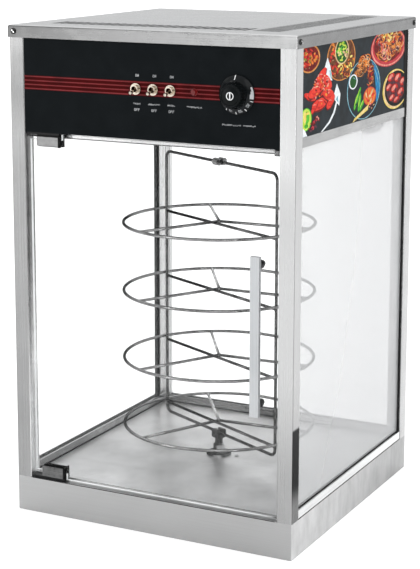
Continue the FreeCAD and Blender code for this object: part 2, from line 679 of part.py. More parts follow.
def make_clamp_pads():
    pads = []
    half_slot = DOOR_GLASS / 2 + PAD
    for lower in (True, False):
        edge, sign = clamp_levels(lower)
        top = edge + sign * (CLAMP_HEIGHT + 1.5)
        sleeve = box(CLAMP_X0, CLAMP_X1, DOOR_Y - half_slot, DOOR_Y + half_slot,
                     edge + sign * CLAMP_WEB, top)
        end = box(CLAMP_X1, CLAMP_X1 + 2.5, DOOR_Y - CLAMP_DEPTH / 2, DOOR_Y + CLAMP_DEPTH / 2, edge, top)
        slit = box(CLAMP_X0 - 1, CLAMP_X1 + 5, DOOR_Y - DOOR_GLASS / 2, DOOR_Y + DOOR_GLASS / 2,
                   edge + sign * (CLAMP_WEB + PAD), top + sign)
        pads.append(joined([sleeve, end]).cut(slit))
    return group(pads)


def make_clamp_screws():
    screws = []
    start = DOOR_Y + DOOR_GLASS / 2 + PAD
    length = CLAMP_DEPTH / 2 - DOOR_GLASS / 2 - PAD - 0.5
    for lower in (True, False):
        edge, sign = clamp_levels(lower)
        screws += [rod(x, start, edge + sign * 12.0, 2.0, length, AXIS_Y) for x in CLAMP_SCREW_X]
    return screws


def make_hinge_pivot(lower):
    seat = BASE_HEIGHT if lower else CEILING_Z
    sign = 1.0 if lower else -1.0
    edge = LOWER_CLAMP_Z if lower else UPPER_CLAMP_Z
    thickness = abs(edge - seat) - 0.5
    plate = box(-POST_IN_X, CLAMP_X1 + 2.0, DOOR_Y - 8.0, DOOR_Y + 8.0, seat, seat + sign * thickness)
    pin = rod(HINGE_X, DOOR_Y, seat, PIN_RADIUS, thickness + 0.5 + 5.5, AXIS_Z * sign)
    return joined([plate, pin])


def make_door_handle():
    back = DOOR_Y - DOOR_GLASS / 2 - STANDOFF_LENGTH
    return soft_box(HANDLE_X - 7.5, HANDLE_X + 7.5, back - 8.0, back, HANDLE_Z0, HANDLE_Z1, 1.5)


def make_handle_standoffs():
    front = DOOR_Y - DOOR_GLASS / 2
    return group([rod(HANDLE_X, front, z, 7.0, STANDOFF_LENGTH, ACROSS) for z in STANDOFF_Z])


def make_handle_screws():
    back = DOOR_Y + DOOR_GLASS / 2
    return [pan_screw(HANDLE_X, back, z, AXIS_Y, 5.0, 2.5, SCREW_RADIUS, DOOR_GLASS) for z in STANDOFF_Z]


def make_strike_plate():
    back = DOOR_Y + DOOR_GLASS / 2
    return box(DOOR_X1 - 11.0, DOOR_X1, back, back + 1.0, CATCH_Z, DOOR_Z1 - 0.5)


def make_magnetic_catch():
    front = DOOR_Y + DOOR_GLASS / 2 + 1.5
    return box(POST_IN_X - 14.0, POST_IN_X, front, STOP_RAIL_FRONT, CATCH_Z, CATCH_Z + 10.0)


# ---------------------------------------------------------------- all sub-parts
def all_parts():
    side_sets = {
        "bottom_rail": make_bottom_rail_right(),
        "top_rail": make_top_rail_right(),
        "side_glass": make_side_glass_right(),
        "side_panel": make_side_panel_right(),
    }
    parts = {
        "base_skirt": make_base_skirt(),
        "bottom_plate": make_bottom_plate(),
        "floor_plate": make_floor_plate(),
        "cable_gland": make_cable_gland(),
        "heater_element": group([make_heater_tube()] + make_heater_clips()),
        "post_front_left": make_post(-1, -1),
        "post_front_right": make_post(1, -1),
        "post_rear_left": make_post(-1, 1),
        "post_rear_right": make_post(1, 1),
        "rear_rails": group([make_bottom_rail_rear(), make_top_rail_rear()]),
        "door_stop_rail": make_door_stop_rail(),
        "glass_gaskets": make_glass_gaskets(),
        "rear_glass": make_rear_glass(),
        "control_fascia": make_control_fascia(),
        "rear_panel": make_rear_panel(),
        "ceiling_plate": make_ceiling_plate(),
        "lid": make_lid(),
        "case_screws": group(make_lid_screws() + make_bottom_screws()),
        "lamp_holder": make_lamp_holder(),
        "lamp_dome": make_lamp_dome(),
        "lamp_bulb": make_lamp_bulb(),
        "toggle_switches": make_toggle_switches(),
        "pilot_lamp": make_pilot_lamp(),
        "thermostat_body": make_thermostat_body(),
        "thermostat_shaft": make_thermostat_shaft(),
        "thermostat_knob": make_knob(),
        "knob_cap": make_knob_cap(),
        "gear_motor": make_gear_motor(),
        "spindle_bearing": make_spindle_bearing(),
        "floor_screws": group(make_flange_screws() + make_motor_screws()),
        "spindle_shaft": make_spindle_shaft(),
        "hub_saddle": make_hub_saddle(),
        "top_saddle": make_top_saddle(),
        "rack_frame": make_rack_frame(),
        "door_glass": make_door_glass(),
        "hinge_clamp_lower": make_hinge_clamp(True),
        "hinge_clamp_upper": make_hinge_clamp(False),
        "clamp_pads": make_clamp_pads(),
        "hinge_pivot_lower": make_hinge_pivot(True),
        "hinge_pivot_upper": make_hinge_pivot(False),
        "door_handle": make_door_handle(),
        "handle_standoffs": make_handle_standoffs(),
        "door_screws": group(make_clamp_screws() + make_handle_screws()),
        "strike_plate": make_strike_plate(),
        "magnetic_catch": make_magnetic_catch(),
    }
    for name, shape in side_sets.items():
        parts[name + "_right"] = shape
        parts[name + "_left"] = mirrored_x(shape)
    for index, x in enumerate(SWITCH_X):
        parts["toggle_lever_%d" % (index + 1)] = make_toggle(x)
    for index, (z, turn) in enumerate(zip(TIER_HEIGHTS, TIER_TURNS)):
        parts["ring_shelf_%d" % (index + 1)] = make_ring_shelf(z, turn)
    return parts


os.makedirs("parts", exist_ok=True)
for node_name, node_shape in all_parts().items():
    node_shape.exportStep("parts/%s.step" % node_name)
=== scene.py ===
import bpy
import bmesh
import json
import random
from math import cos, hypot, pi, radians, sin, sqrt
from mathutils import Matrix, Vector


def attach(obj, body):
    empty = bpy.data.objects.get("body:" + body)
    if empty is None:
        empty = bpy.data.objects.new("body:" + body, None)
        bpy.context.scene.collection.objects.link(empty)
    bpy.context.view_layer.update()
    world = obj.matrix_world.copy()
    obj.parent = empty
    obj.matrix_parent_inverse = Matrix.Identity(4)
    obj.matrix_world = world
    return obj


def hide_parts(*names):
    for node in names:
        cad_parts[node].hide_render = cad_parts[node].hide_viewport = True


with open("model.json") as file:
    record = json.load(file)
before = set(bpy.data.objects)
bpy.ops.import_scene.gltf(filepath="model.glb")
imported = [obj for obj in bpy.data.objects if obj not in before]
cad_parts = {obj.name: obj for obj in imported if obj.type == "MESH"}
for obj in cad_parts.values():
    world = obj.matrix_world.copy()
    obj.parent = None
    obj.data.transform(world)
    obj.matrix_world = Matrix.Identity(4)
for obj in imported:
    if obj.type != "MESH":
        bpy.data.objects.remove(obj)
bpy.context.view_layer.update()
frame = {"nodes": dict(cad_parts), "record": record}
MM = 0.001

# ---- places taken from the CAD frame
PANEL_FRONT = -0.2365  # front face of the fascia
CONTROL_Z = 0.6875  # level of the switches, lamp and knob
SWITCH_X = (-0.0185, 0.0105, 0.0395)
PILOT_X = 0.0785
KNOB_X = 0.1475
SKIRT_BACK = -0.238  # back of the knob's skirt
LEVER_PIVOT_Y = -0.2385
PRINT_X = 0.239  # outer face of the printed side panels
PANEL_Y = (-0.2125, 0.1995)
PANEL_Z = (0.6281, 0.7699)
RING_RADIUS = 0.1555
ROD = 0.0025  # wire radius
TIERS = (0.1145, 0.2265, 0.3385, 0.4505)
SPOKES = (0.0, 120.0, 240.0)
BACK_SPOKE = 120.0
TIER_TURNS = (4.0, 2.0, 1.5, 3.0)
FRAME_ANGLE = 153.0
FRAME_REACH = 0.15055
FRAME_Z = (0.094, 0.548)
FRAME_BEND = 0.011
LID_INNER_X, LID_INNER_Y = 0.239, 0.2365
# Lid vent bands whose tone darkens the top between the slots as painted shade.
VENT_SHADE_BANDS = (((-0.0325, 0.165), (-0.1605, 0.0225), 0.2),  # (x, half x), (y, half y), tone: front
              ((0.1675, 0.0225), (0.0085, 0.192), 0.5))  # right
LID_SCREW_Z = 0.7655
LID_SCREW = (0.0046, 0.0024)  # head radius and height
FLOOR_SCREW = (0.0036, 0.002)
FLANGE_SCREW_REACH, FLANGE_TOP = 0.015, 0.0605
MOTOR_SCREW_X, FLOOR_TOP = 0.033, 0.0575

# ---- thin prints
PRINT_LIFT = 0.00002  # how far ink stands off its panel
INK, BAR_INK, STRIPE_INK, GROUND_INK = 0.00008, 0.0001, 0.00012, 0.00005
STRIPE_Z = (0.6975, 0.6913, 0.6851, 0.6790)
STRIPE_RUNS = ((-0.215, 0.1215), (0.1735, 0.215))  # left and right of the knob
STRIPE_HALF = 0.0009
STRIPE_GROUND = 0.0018  # dark ground past the middle of the outer stripes
LABEL_SEED, PRINT_SEED = 5, 11


# ---- shader helpers
def feed_socket(tree, socket, value):
    if isinstance(value, bpy.types.NodeSocket):
        tree.links.new(value, socket)
    else:
        socket.default_value = value


def feed(tree, node, **inputs):
    """Sets or links inputs by name. Base_Color stands for Base Color."""
    for name, value in inputs.items():
        feed_socket(tree, node.inputs[name.replace("_", " ")], value)


def add_node(tree, kind, **inputs):
    node = tree.nodes.new("ShaderNode" + kind)
    feed(tree, node, **inputs)
    return node


def node_material(name):
    mat = bpy.data.materials.new(name)
    mat.use_nodes = True
    return mat, mat.node_tree, mat.node_tree.nodes["Principled BSDF"]


def math_node(tree, operation, *values, clamp=False):
    """A Math node whose inputs are numbers or sockets."""
    node = add_node(tree, "Math")
    node.operation = operation
    node.use_clamp = clamp
    for socket, value in zip(node.inputs, values):
        feed_socket(tree, socket, value)
    return node.outputs["Value"]


def object_noise(tree, scale, detail=3.0, roughness=0.5, offset=(0.0, 0.0, 0.0)):
    coord = add_node(tree, "TexCoord").outputs["Object"]
    place = add_node(tree, "Mapping", Vector=coord, Scale=scale, Location=offset).outputs["Vector"]
    noise = add_node(tree, "TexNoise", Vector=place, Scale=1.0, Detail=detail, Roughness=roughness)
    return noise.outputs["Fac"]


def ramp_node(tree, source, low, high):
    """A colour ramp between two stops, (position, colour or grey value)."""
    ramp = add_node(tree, "ValToRGB", Fac=source)
    for element, (position, color) in zip(ramp.color_ramp.elements, (low, high)):
        element.position = position
        element.color = (color, color, color, 1.0) if isinstance(color, float) else (*color, 1.0)
    return ramp.outputs["Color"]


def range_node(tree, source, low, high, start=0.3, stop=0.7, smooth=False):
    """Maps a value from start to stop onto low to high."""
    node = add_node(tree, "MapRange", Value=source, From_Min=start, From_Max=stop, To_Min=low, To_Max=high)
    node.interpolation_type = "SMOOTHSTEP" if smooth else "LINEAR"
    return node.outputs["Result"]


def axis_value(tree, output, axis, kind="TexCoord"):
    coord = add_node(tree, kind).outputs[output]
    return add_node(tree, "SeparateXYZ", Vector=coord).outputs[axis]


def bump(tree, source, strength, distance):
    return add_node(tree, "Bump", Height=source, Strength=strength, Distance=distance).outputs["Normal"]


def facing_mask(tree, facing):
    """1 on faces that look along a signed object axis, such as "+X", else 0."""
    sign = 1.0 if facing[0] == "+" else -1.0
    return range_node(tree, axis_value(tree, "Normal", facing[1]), 0.0, 1.0, 0.5 * sign, 0.8 * sign)


def near_mask(tree, source, centre, half, fade):
    """1 within half of the centre, then a fall to 0 over the distance fade."""
    away = math_node(tree, "ABSOLUTE", math_node(tree, "SUBTRACT", source, centre))
    return range_node(tree, away, 0.0, 1.0, half + fade, half)


def scale_color(tree, color, factor, mask=None):
    """Multiplies a colour by a factor, and if there is a mask, only where it is 1."""
    if mask is not None:
        factor = math_node(tree, "MULTIPLY_ADD", math_node(tree, "SUBTRACT", factor, 1.0), mask, 1.0)
    mix = add_node(tree, "VectorMath")
    mix.operation = "SCALE"
    feed_socket(tree, mix.inputs[0], color)
    feed(tree, mix, Scale=factor)
    return mix.outputs["Vector"]


def shaded(tree, color, shades):
    """Multiplies a colour by smooth steps along object axes. A shade is (axis, from, to,
    value at from, value at to) and, for one side only, a facing."""
    for axis, start, stop, value_start, value_stop, *facing in shades:
        place = axis_value(tree, "Object", axis)
        step = range_node(tree, place, value_start, value_stop, start, stop, smooth=True)
        color = scale_color(tree, color, step, facing_mask(tree, *facing) if facing else None)
    return color


# ---- kinds of material
def metal(name, dark, light, rough=(0.25, 0.4), streak=(4.0, 4.0, 900.0), relief=0.05, cloud=14.0,
          blend=0.55, shades=(), mottle=None, edge_tint=1.0):
    """Metal with a grain, scaled by streak, and blotches, scaled by cloud; blend is the grain's share.
    mottle is (scale, low, high, facing), and edge_tint dims the reflection at grazing angles."""
    mat, tree, bsdf = node_material(name)
    grain = object_noise(tree, streak, detail=4.0, roughness=0.6)
    blotch = object_noise(tree, (cloud,) * 3, offset=(3.1, 1.7, 0.4))
    mix = math_node(tree, "MULTIPLY_ADD", grain, blend, math_node(tree, "MULTIPLY", blotch, 1.0 - blend))
    color = shaded(tree, ramp_node(tree, mix, (0.36, dark), (0.64, light)), shades)
    if mottle:
        scale, low, high, facing = mottle
        stain = object_noise(tree, scale, detail=6.0, roughness=0.65, offset=(0.7, 2.2, 5.1))
        mask = facing_mask(tree, facing) if facing else None
        color = scale_color(tree, color, range_node(tree, stain, low, high, 0.36, 0.62), mask)
    feed(tree, bsdf, Base_Color=color, Roughness=range_node(tree, mix, *rough, 0.35, 0.65), Metallic=1.0,
         Specular_Tint=(edge_tint, edge_tint, edge_tint, 1.0), Normal=bump(tree, grain, relief, 0.0004))
    return mat


def plain(name, dark, light, rough=(0.4, 0.6), scale=60.0, relief=0.0, specular=0.5):
    """Paint, plastic, rubber, ceramic or ink with a fine variation."""
    mat, tree, bsdf = node_material(name)
    noise = object_noise(tree, (scale,) * 3, detail=4.0)
    feed(tree, bsdf, Base_Color=ramp_node(tree, noise, (0.35, dark), (0.65, light)),
         Roughness=range_node(tree, noise, *rough), Specular_IOR_Level=specular)
    if relief:
        feed(tree, bsdf, Normal=bump(tree, noise, relief, 0.0005))
    return mat


def pane(name, tint, low, high, sheen, face_axis=None, edge=0.7, edge_tone=1.0):
    """Clear sheet: a thin film of haze, a grey film at grazing angles that is a painted reflection, and solid
    cut edges.
    edge_tone darkens the cut edges on the case's right."""
    mat, tree, bsdf = node_material(name)
    haze = object_noise(tree, (3.0, 3.0, 2.0), detail=1.0)
    color = ramp_node(tree, haze, (0.3, tint), (0.7, tuple(min(1.0, c * 1.03) for c in tint)))
    grazing = math_node(tree, "POWER", add_node(tree, "LayerWeight", Blend=0.5).outputs["Facing"], 2.0)
    film = range_node(tree, haze, low, high, 0.35, 0.7)
    alpha = math_node(tree, "MULTIPLY_ADD", grazing, sheen, film, clamp=True)
    if face_axis:
        size = math_node(tree, "ABSOLUTE", axis_value(tree, "Normal", face_axis))
        alpha = math_node(tree, "MAXIMUM", alpha, range_node(tree, size, edge, 0.0, 0.4, 0.6))
        tone = range_node(tree, size, edge_tone, 1.0, 0.4, 0.6)
        right = range_node(tree, axis_value(tree, "Object", "X"), 0.0, 1.0, 0.19, 0.21)
        color = scale_color(tree, color, tone, right)
    feed(tree, bsdf, Base_Color=color, Alpha=alpha, Roughness=0.03, Specular_IOR_Level=0.8)
    return mat


def lid_metal():
    """Lid steel with painted shade on the vent bands, the slot walls and the inside of the rim."""
    # Painted light and shade on the lid: the front brightens to the right, the right side and top are darker,
    # and a painted highlight runs along the top's front edge.
    mat = metal("steel_brushed_lid", 0.33, 0.42, rough=(0.22, 0.36), streak=(5.0, 700.0, 700.0), relief=0.03,
                cloud=30.0, blend=0.4, mottle=((6.0, 14.0, 20.0), 0.88, 1.12, "+X"),
                shades=[("X", -0.24, 0.24, 0.36, 1.22, "-Y"), ("X", 0.06, 0.24, 0.78, 1.0, "-Y"),
                        ("Y", -0.24, 0.24, 0.5, 0.45, "+X"), ("Z", 0.772, 0.776, 0.84, 0.88, "+Z"),
                        ("Y", -0.234, -0.229, 1.3, 1.0, "+Z")])
    tree = mat.node_tree
    base = tree.nodes["Principled BSDF"].inputs["Base Color"]
    upward = axis_value(tree, "True Normal", "Z", "NewGeometry")

    def within(x, y, fade):
        masks = [near_mask(tree, axis_value(tree, "Object", axis), *place, fade)
                 for axis, place in (("X", x), ("Y", y))]
        return math_node(tree, "MULTIPLY", *masks)

    # Slot walls and the inside of the rim are darkened almost to black as painted shade.
    recess_shade = math_node(tree, "MULTIPLY", within((0.0, LID_INNER_X), (0.0, LID_INNER_Y), 0.001),
                       near_mask(tree, upward, 0.0, 0.9, 0.08))
    zones = [(recess_shade, 0.03)] + [(within(x, y, 0.004), tone) for x, y, tone in VENT_SHADE_BANDS]
    color = base.links[0].from_socket
    for zone, tone in zones:
        color = scale_color(tree, color, range_node(tree, zone, 1.0, tone, 0.0, 1.0))
    tree.links.new(color, base)
    return mat


# ---- steels
SHEET_GRAIN = (5.0, 5.0, 900.0)
POST_GRAIN = (420.0, 420.0, 4.0)
STEEL_LID = lid_metal()
STEEL_H = metal("steel_brushed_level", 0.34, 0.46, streak=SHEET_GRAIN)
# Painted light: the right side of the base is lightened, most towards its front.
STEEL_BASE = metal("steel_base_skirt", 0.335, 0.38, rough=(0.28, 0.4), streak=SHEET_GRAIN, cloud=6.0,
                   blend=0.6, relief=0.02, shades=[("Y", -0.2, 0.24, 1.5, 0.95, "+X")],
                   mottle=((40.0, 40.0, 14.0), 0.88, 1.12, "+X"))
# Painted light and shade on the front left post: its front is darker high up with a lighter top end, and its
# inner side is lightened low down and darkened higher up.
STEEL_V = metal("steel_brushed_upright", 0.25, 0.32, rough=(0.2, 0.34), streak=POST_GRAIN, blend=0.5,
                shades=[("Z", 0.58, 0.68, 0.93, 0.6, "-Y"), ("Z", 0.72, 0.75, 1.0, 1.2, "-Y"),
                        ("Z", 0.1, 0.36, 4.0, 1.0, "+X"), ("Z", 0.36, 0.44, 1.0, 0.6, "+X")])
# Painted light and shade on the front right post: darker low down, a lighter front high up, a painted dark
# reflection band low on its right side, and a painted dark line at that side's front corner.
STEEL_POST = metal("steel_front_post", 0.42, 0.465, rough=(0.2, 0.34), streak=POST_GRAIN, blend=0.5,
                   edge_tint=0.4,
                   shades=[("Z", 0.1, 0.3, 0.7, 1.0), ("Z", 0.5, 0.62, 1.0, 1.3, "-Y"),
                           ("Z", 0.197, 0.202, 0.17, 1.35, "+X"), ("Z", 0.078, 0.115, 5.0, 1.0, "+X"),
                           ("Y", -0.2362, -0.2354, 0.4, 1.0, "+X")])
STEEL_REAR = metal("steel_rear_post", 0.36, 0.5, rough=(0.18, 0.32), streak=POST_GRAIN)
# Painted light and shade on the floor: lighter towards the back, darker at the right edge.
STEEL_FLOOR = metal("steel_satin_floor", 0.44, 0.54, rough=(0.3, 0.42), streak=(3.0, 60.0, 3.0), cloud=16.0,
                    relief=0.02, blend=0.35, mottle=((9.0, 7.0, 9.0), 0.84, 1.16, None),
                    shades=[("Y", -0.22, 0.2, 1.02, 1.1), ("X", 0.13, 0.2, 1.0, 0.9)])
STEEL_RAIL = metal("steel_rail", 0.34, 0.44, rough=(0.2, 0.32))
STEEL_TOP_RAIL = metal("steel_top_rail", 0.24, 0.34, rough=(0.2, 0.32),
                       mottle=((20.0, 12.0, 30.0), 0.85, 1.15, None))
# The rear rail's front face is darkened as painted shade, less towards the right.
STEEL_REAR_RAIL = metal("steel_rear_rail", 0.36, 0.5, rough=(0.2, 0.32),
                        shades=[("X", 0.015, 0.05, 0.31, 0.8, "-Y")])
# A painted shadow line along the bottom edge of the stop rail.
STEEL_STOP = metal("steel_stop_rail", 0.42, 0.55, rough=(0.2, 0.32), shades=[("Z", 0.6034, 0.6042, 0.2, 1.0)])
STEEL_BRIGHT = metal("steel_bright_rail", 0.6, 0.75, rough=(0.15, 0.25))
# Painted shade on the hinge clamps: their right ends and tops are darkened nearly to black, and the lower
# clamp is a darker copy of the same steel.
CLAMP_PAINTED_SHADE = [("X", -1.0, 1.0, 0.03, 0.03, "+X"), ("Z", -1.0, 1.0, 0.1, 0.1, "+Z")]
STEEL_CLAMP_SHADED = metal("steel_clamp_painted_shade", 0.08, 0.15, cloud=120.0, shades=CLAMP_PAINTED_SHADE)
# The upper clamp's front also gets a painted shadow band along its top.
STEEL_CLAMP = metal("steel_grey_clamp", 0.16, 0.24, cloud=120.0,
                    shades=CLAMP_PAINTED_SHADE + [("Z", 0.6048, 0.6056, 1.0, 0.04, "-Y")])
SHEET_ZINC = metal("sheet_galvanised", (0.35, 0.36, 0.37), (0.55, 0.56, 0.57), rough=(0.3, 0.5), cloud=60.0)
SCREW = metal("screw_steel", 0.06, 0.22, rough=(0.08, 0.16), relief=0.02, cloud=260.0)
HEAD_DARK = metal("screw_head_dark", 0.012, 0.06, rough=(0.1, 0.2), cloud=260.0)
CHROME = metal("chrome_polished", 0.42, 0.6, rough=(0.05, 0.1), relief=0.01)
WIRE_LOOK = {"rough": (0.12, 0.26), "relief": 0.02, "cloud": 60.0, "edge_tint": 0.09}
WIRE = metal("rack_wire", 0.14, 0.34, **WIRE_LOOK)
# A lighter copy of the rack wire, for the back spokes, as a painted highlight.
WIRE_PAINTED_HIGHLIGHT = metal("rack_wire_painted_highlight", 0.3, 0.55, rough=(0.12, 0.26), cloud=60.0)
WIRE_DARK = metal("rack_frame_dark", 0.03, 0.14, **WIRE_LOOK)
# A painted highlight band down the spindle, with painted shade to its left and right.
TURNED = metal("spindle_turned", 0.25, 0.5, rough=(0.06, 0.14), relief=0.01, cloud=95.0, edge_tint=0.09,
               shades=[("X", -0.001, 0.003, 0.15, 1.8), ("X", 0.010, 0.014, 1.0, 0.35)])
# Painted shade: the saddles are darker low down and lighter higher up.
CAST = metal("cast_saddle", 0.04, 0.2, rough=(0.2, 0.4), relief=0.1, cloud=220.0,
             shades=[("Z", 0.2, 0.4, 0.25, 1.2)])
NICKEL = metal("nickel_lever", (0.3, 0.26, 0.21), (0.6, 0.53, 0.45), rough=(0.08, 0.18), relief=0.01)
ALUMINIUM = metal("aluminium_handle", (0.35, 0.36, 0.37), (0.46, 0.47, 0.48), rough=(0.3, 0.42),
                  streak=(600.0, 600.0, 5.0))
HEATER = metal("heater_sheath", (0.1, 0.09, 0.085), (0.22, 0.2, 0.18), rough=(0.4, 0.6))

# ---- plastics, inks and glass
FASCIA = plain("fascia_black", (0.0045, 0.0058, 0.0066), (0.006, 0.0075, 0.0085), rough=(0.34, 0.42),
               scale=35.0, specular=0.02)
SLATE = plain("print_slate", (0.009, 0.012, 0.014), (0.02, 0.026, 0.031), rough=(0.35, 0.45), specular=0.03)
RUBBER = plain("rubber_black", 0.003, 0.008, rough=(0.6, 0.8), relief=0.1, specular=0.1)
PLASTIC = plain("plastic_black", 0.003, (0.009, 0.009, 0.01), rough=(0.35, 0.5), scale=300.0, relief=0.05,
                specular=0.2)
# Near black, as painted shade in the screw recesses.
RECESS = plain("screw_recess", 0.004, 0.012, specular=0.1)
KNOB = plain("knob_black", (0.003, 0.004, 0.004), (0.006, 0.007, 0.008), rough=(0.22, 0.3), specular=0.06)
SKIRT = plain("knob_skirt", (0.003, 0.004, 0.004), (0.006, 0.007, 0.008), rough=(0.08, 0.14), specular=0.12)
WHITE_INK = plain("ink_white", (0.7, 0.71, 0.72), (0.85, 0.86, 0.87), specular=0.1)
GREY_INK = plain("ink_grey", (0.3, 0.31, 0.32), (0.45, 0.46, 0.47), specular=0.1)
RED_INK = plain("ink_red", (0.11, 0.015, 0.017), (0.165, 0.023, 0.026), rough=(0.3, 0.4), scale=40.0,
                specular=0.05)
DARK_RED_INK = plain("ink_dark_red", (0.028, 0.0008, 0.001), (0.045, 0.0014, 0.0016), rough=(0.3, 0.4),
                     scale=40.0, specular=0.03)
LENS = plain("lens_red", (0.08, 0.003, 0.003), (0.16, 0.006, 0.006), rough=(0.08, 0.15), specular=0.4)
CERAMIC = plain("ceramic_white", (0.72, 0.71, 0.68), (0.82, 0.81, 0.79), rough=(0.15, 0.25))
CLEAR = ((0.93, 0.95, 0.95), 0.0, 0.015, 0.3)
# The right pane's strong grey film at grazing angles is a painted reflection of the bright studio; the left
# pane is the same glass with little of it.
SIDE_CLEAR = pane("glass_side", (0.45, 0.455, 0.46), 0.03, 0.03, 1.2, "X")
LEFT_CLEAR = pane("glass_left", *CLEAR, "X")
REAR_CLEAR = pane("glass_rear", *CLEAR, "Y")
DOOR_CLEAR = pane("glass_door", *CLEAR, "Y", 0.85, 0.12)
FROSTED = pane("glass_lamp", (0.8, 0.8, 0.78), 0.45, 0.6, 0.3)
BULB = pane("glass_bulb", (0.95, 0.92, 0.85), 0.25, 0.4, 0.3)

SLOT_MATERIALS = {
    "stainless": STEEL_H, "floor_steel": STEEL_FLOOR, "galvanised_sheet": SHEET_ZINC,
    "black_fascia": FASCIA, "clear_glass": SIDE_CLEAR, "door_glass": DOOR_CLEAR, "black_rubber": RUBBER,
    "black_plastic": PLASTIC, "screw_steel": SCREW, "ceramic_white": CERAMIC, "frosted_glass": FROSTED,
    "bulb_glass": BULB, "heater_steel": HEATER, "zinc_case": SHEET_ZINC, "polished_steel": CHROME,
    "nickel": NICKEL, "red_lens": LENS, "handle_aluminium": ALUMINIUM, "cast_saddle": CAST,
    "rack_wire": WIRE, "knob_black": KNOB, "knob_cap": KNOB, "food_print": SLATE,
}
NODE_MATERIALS = {
    "post_front_left": STEEL_V, "post_front_right": STEEL_POST, "post_rear_left": STEEL_REAR,
    "post_rear_right": STEEL_REAR, "lid": STEEL_LID, "door_stop_rail": STEEL_STOP, "base_skirt": STEEL_BASE,
    "bottom_rail_left": STEEL_RAIL, "bottom_rail_right": STEEL_BRIGHT, "rear_rails": STEEL_REAR_RAIL,
    "hinge_clamp_lower": STEEL_CLAMP_SHADED, "hinge_clamp_upper": STEEL_CLAMP, "rear_glass": REAR_CLEAR,
    "side_glass_left": LEFT_CLEAR, "spindle_bearing": TURNED, "spindle_shaft": TURNED,
    "top_rail_left": STEEL_TOP_RAIL, "top_rail_right": STEEL_TOP_RAIL,
}
SLOT_OF = {entry["node"]: entry["material_slot"] for entry in frame["record"]["subparts"]}


def dress_cad_nodes():
    for name, obj in frame["nodes"].items():
        obj.data.materials.clear()
        obj.data.materials.append(NODE_MATERIALS.get(name, SLOT_MATERIALS[SLOT_OF[name]]))
        is_glass = "glass" in name
        for polygon in obj.data.polygons:
            polygon.use_smooth = not is_glass
        if is_glass:
            continue
        bevel = obj.modifiers.new("soft_edge", "BEVEL")
        bevel.width = 0.00015 if name == "lid" else 0.0004
        bevel.segments = 2
        bevel.limit_method = "ANGLE"
        bevel.angle_limit = radians(40)
        bevel.harden_normals = True


# ---- mesh helpers
def add_object(name, data):
    obj = bpy.data.objects.new(name, data)
    bpy.context.scene.collection.objects.link(obj)
    return obj


def to_mesh(name, bm, mat):
    mesh = bpy.data.meshes.new(name)
    bm.to_mesh(mesh)
    bm.free()
    mesh.materials.append(mat)
    return mesh


def finish_mesh(name, bm, mat, body, smooth=True):
    bmesh.ops.recalc_face_normals(bm, faces=bm.faces)
    mesh = to_mesh(name, bm, mat)
    for polygon in mesh.polygons:
        polygon.use_smooth = smooth
    obj = add_object(name, mesh)
    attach(obj, body)
    return obj


def circle(count):
    angles = [2 * pi * step / count for step in range(count)]
    return [(cos(angle), sin(angle)) for angle in angles]


def rectangle(left, right, low, high):
    return [(left, low), (right, low), (right, high), (left, high)]


def turned(u, v, turn, cu, cv):
    """(u, v) turned, then moved by (cu, cv)."""
    return cu + (u * cos(turn) - v * sin(turn)), cv + (u * sin(turn) + v * cos(turn))


def ellipse(cu, cv, ru, rv, wobble=0.0, turn=0.0, count=48):
    points = []
    for x, y in circle(count):
        scale = 1.0 + wobble * (random.random() - 0.5)
        points.append(turned(ru * x * scale, rv * y * scale, turn, cu, cv))
    return points


def bridge(bm, rows):
    """Joins each row of points to the next, all round. A row may be one point."""
    for lower, upper in zip(rows, rows[1:]):
        count = max(len(lower), len(upper))
        for index in range(count):
            after = (index + 1) % count
            places = ((lower, index), (lower, after), (upper, after), (upper, index))
            bm.faces.new(list(dict.fromkeys(row[place % len(row)] for row, place in places)))


def add_plate(bm, low, high):
    """A closed block between two outlines with as many points."""
    rows = [[bm.verts.new(point) for point in outline] for outline in (low, high)]
    bridge(bm, rows)
    bm.faces.new(rows[0])
    bm.faces.new(rows[1])


def add_sheet(bm, outline, thickness, to_point):
    """A thin closed plate. to_point maps (u, v, depth) to a point in the frame."""
    add_plate(bm, *[[to_point(u, v, depth) for u, v in outline] for depth in (0.0, thickness)])


def add_ring_sheet(bm, outer, inner, thickness, to_point):
    rows = [[bm.verts.new(to_point(u, v, depth)) for u, v in outline]
            for outline, depth in ((outer, 0.0), (outer, thickness), (inner, thickness), (inner, 0.0))]
    bridge(bm, rows + rows[:1])


def add_revolved(bm, profile, origin, axis, count=48, swell=None):
    """A turned solid. profile holds (along, radius) pairs, and a radius of 0 is a single point.
    swell gives each angle's factor on the radius."""
    axis = Vector(axis).normalized()
    side = axis.orthogonal().normalized()
    other = axis.cross(side)
    rows = []
    for along, radius in profile:
        centre = Vector(origin) + axis * along
        row = []
        for step, (x, y) in enumerate(circle(count if radius else 1)):
            reach = radius * (swell(2 * pi * step / count) if swell else 1.0)
            row.append(bm.verts.new(centre + (side * x + other * y) * reach))
        rows.append(row)
    bridge(bm, rows)


def add_tube(bm, points, radius, closed=False, count=16):
    """A round rod swept along points, with flat ends unless it is closed."""
    first, last = (points[-1:], points[:1]) if closed else (points[:1], points[-1:])
    line = first + points + last
    normal = (line[2] - line[0]).normalized().orthogonal()
    rows = []
    for before, point, after in zip(line, line[1:], line[2:]):
        tangent = (after - before).normalized()
        normal = (normal - tangent * normal.dot(tangent)).normalized()
        binormal = tangent.cross(normal)
        rows.append([bm.verts.new(point + (normal * x + binormal * y) * radius) for x, y in circle(count)])
    bridge(bm, rows + rows[:1] if closed else rows)
    if not closed:
        bm.faces.new(rows[0])
        bm.faces.new(rows[-1])


def add_box(bm, low, high):
    outline = rectangle(low[0], high[0], low[1], high[1])
    add_plate(bm, *[[(*corner, z) for corner in outline] for z in (low[2], high[2])])


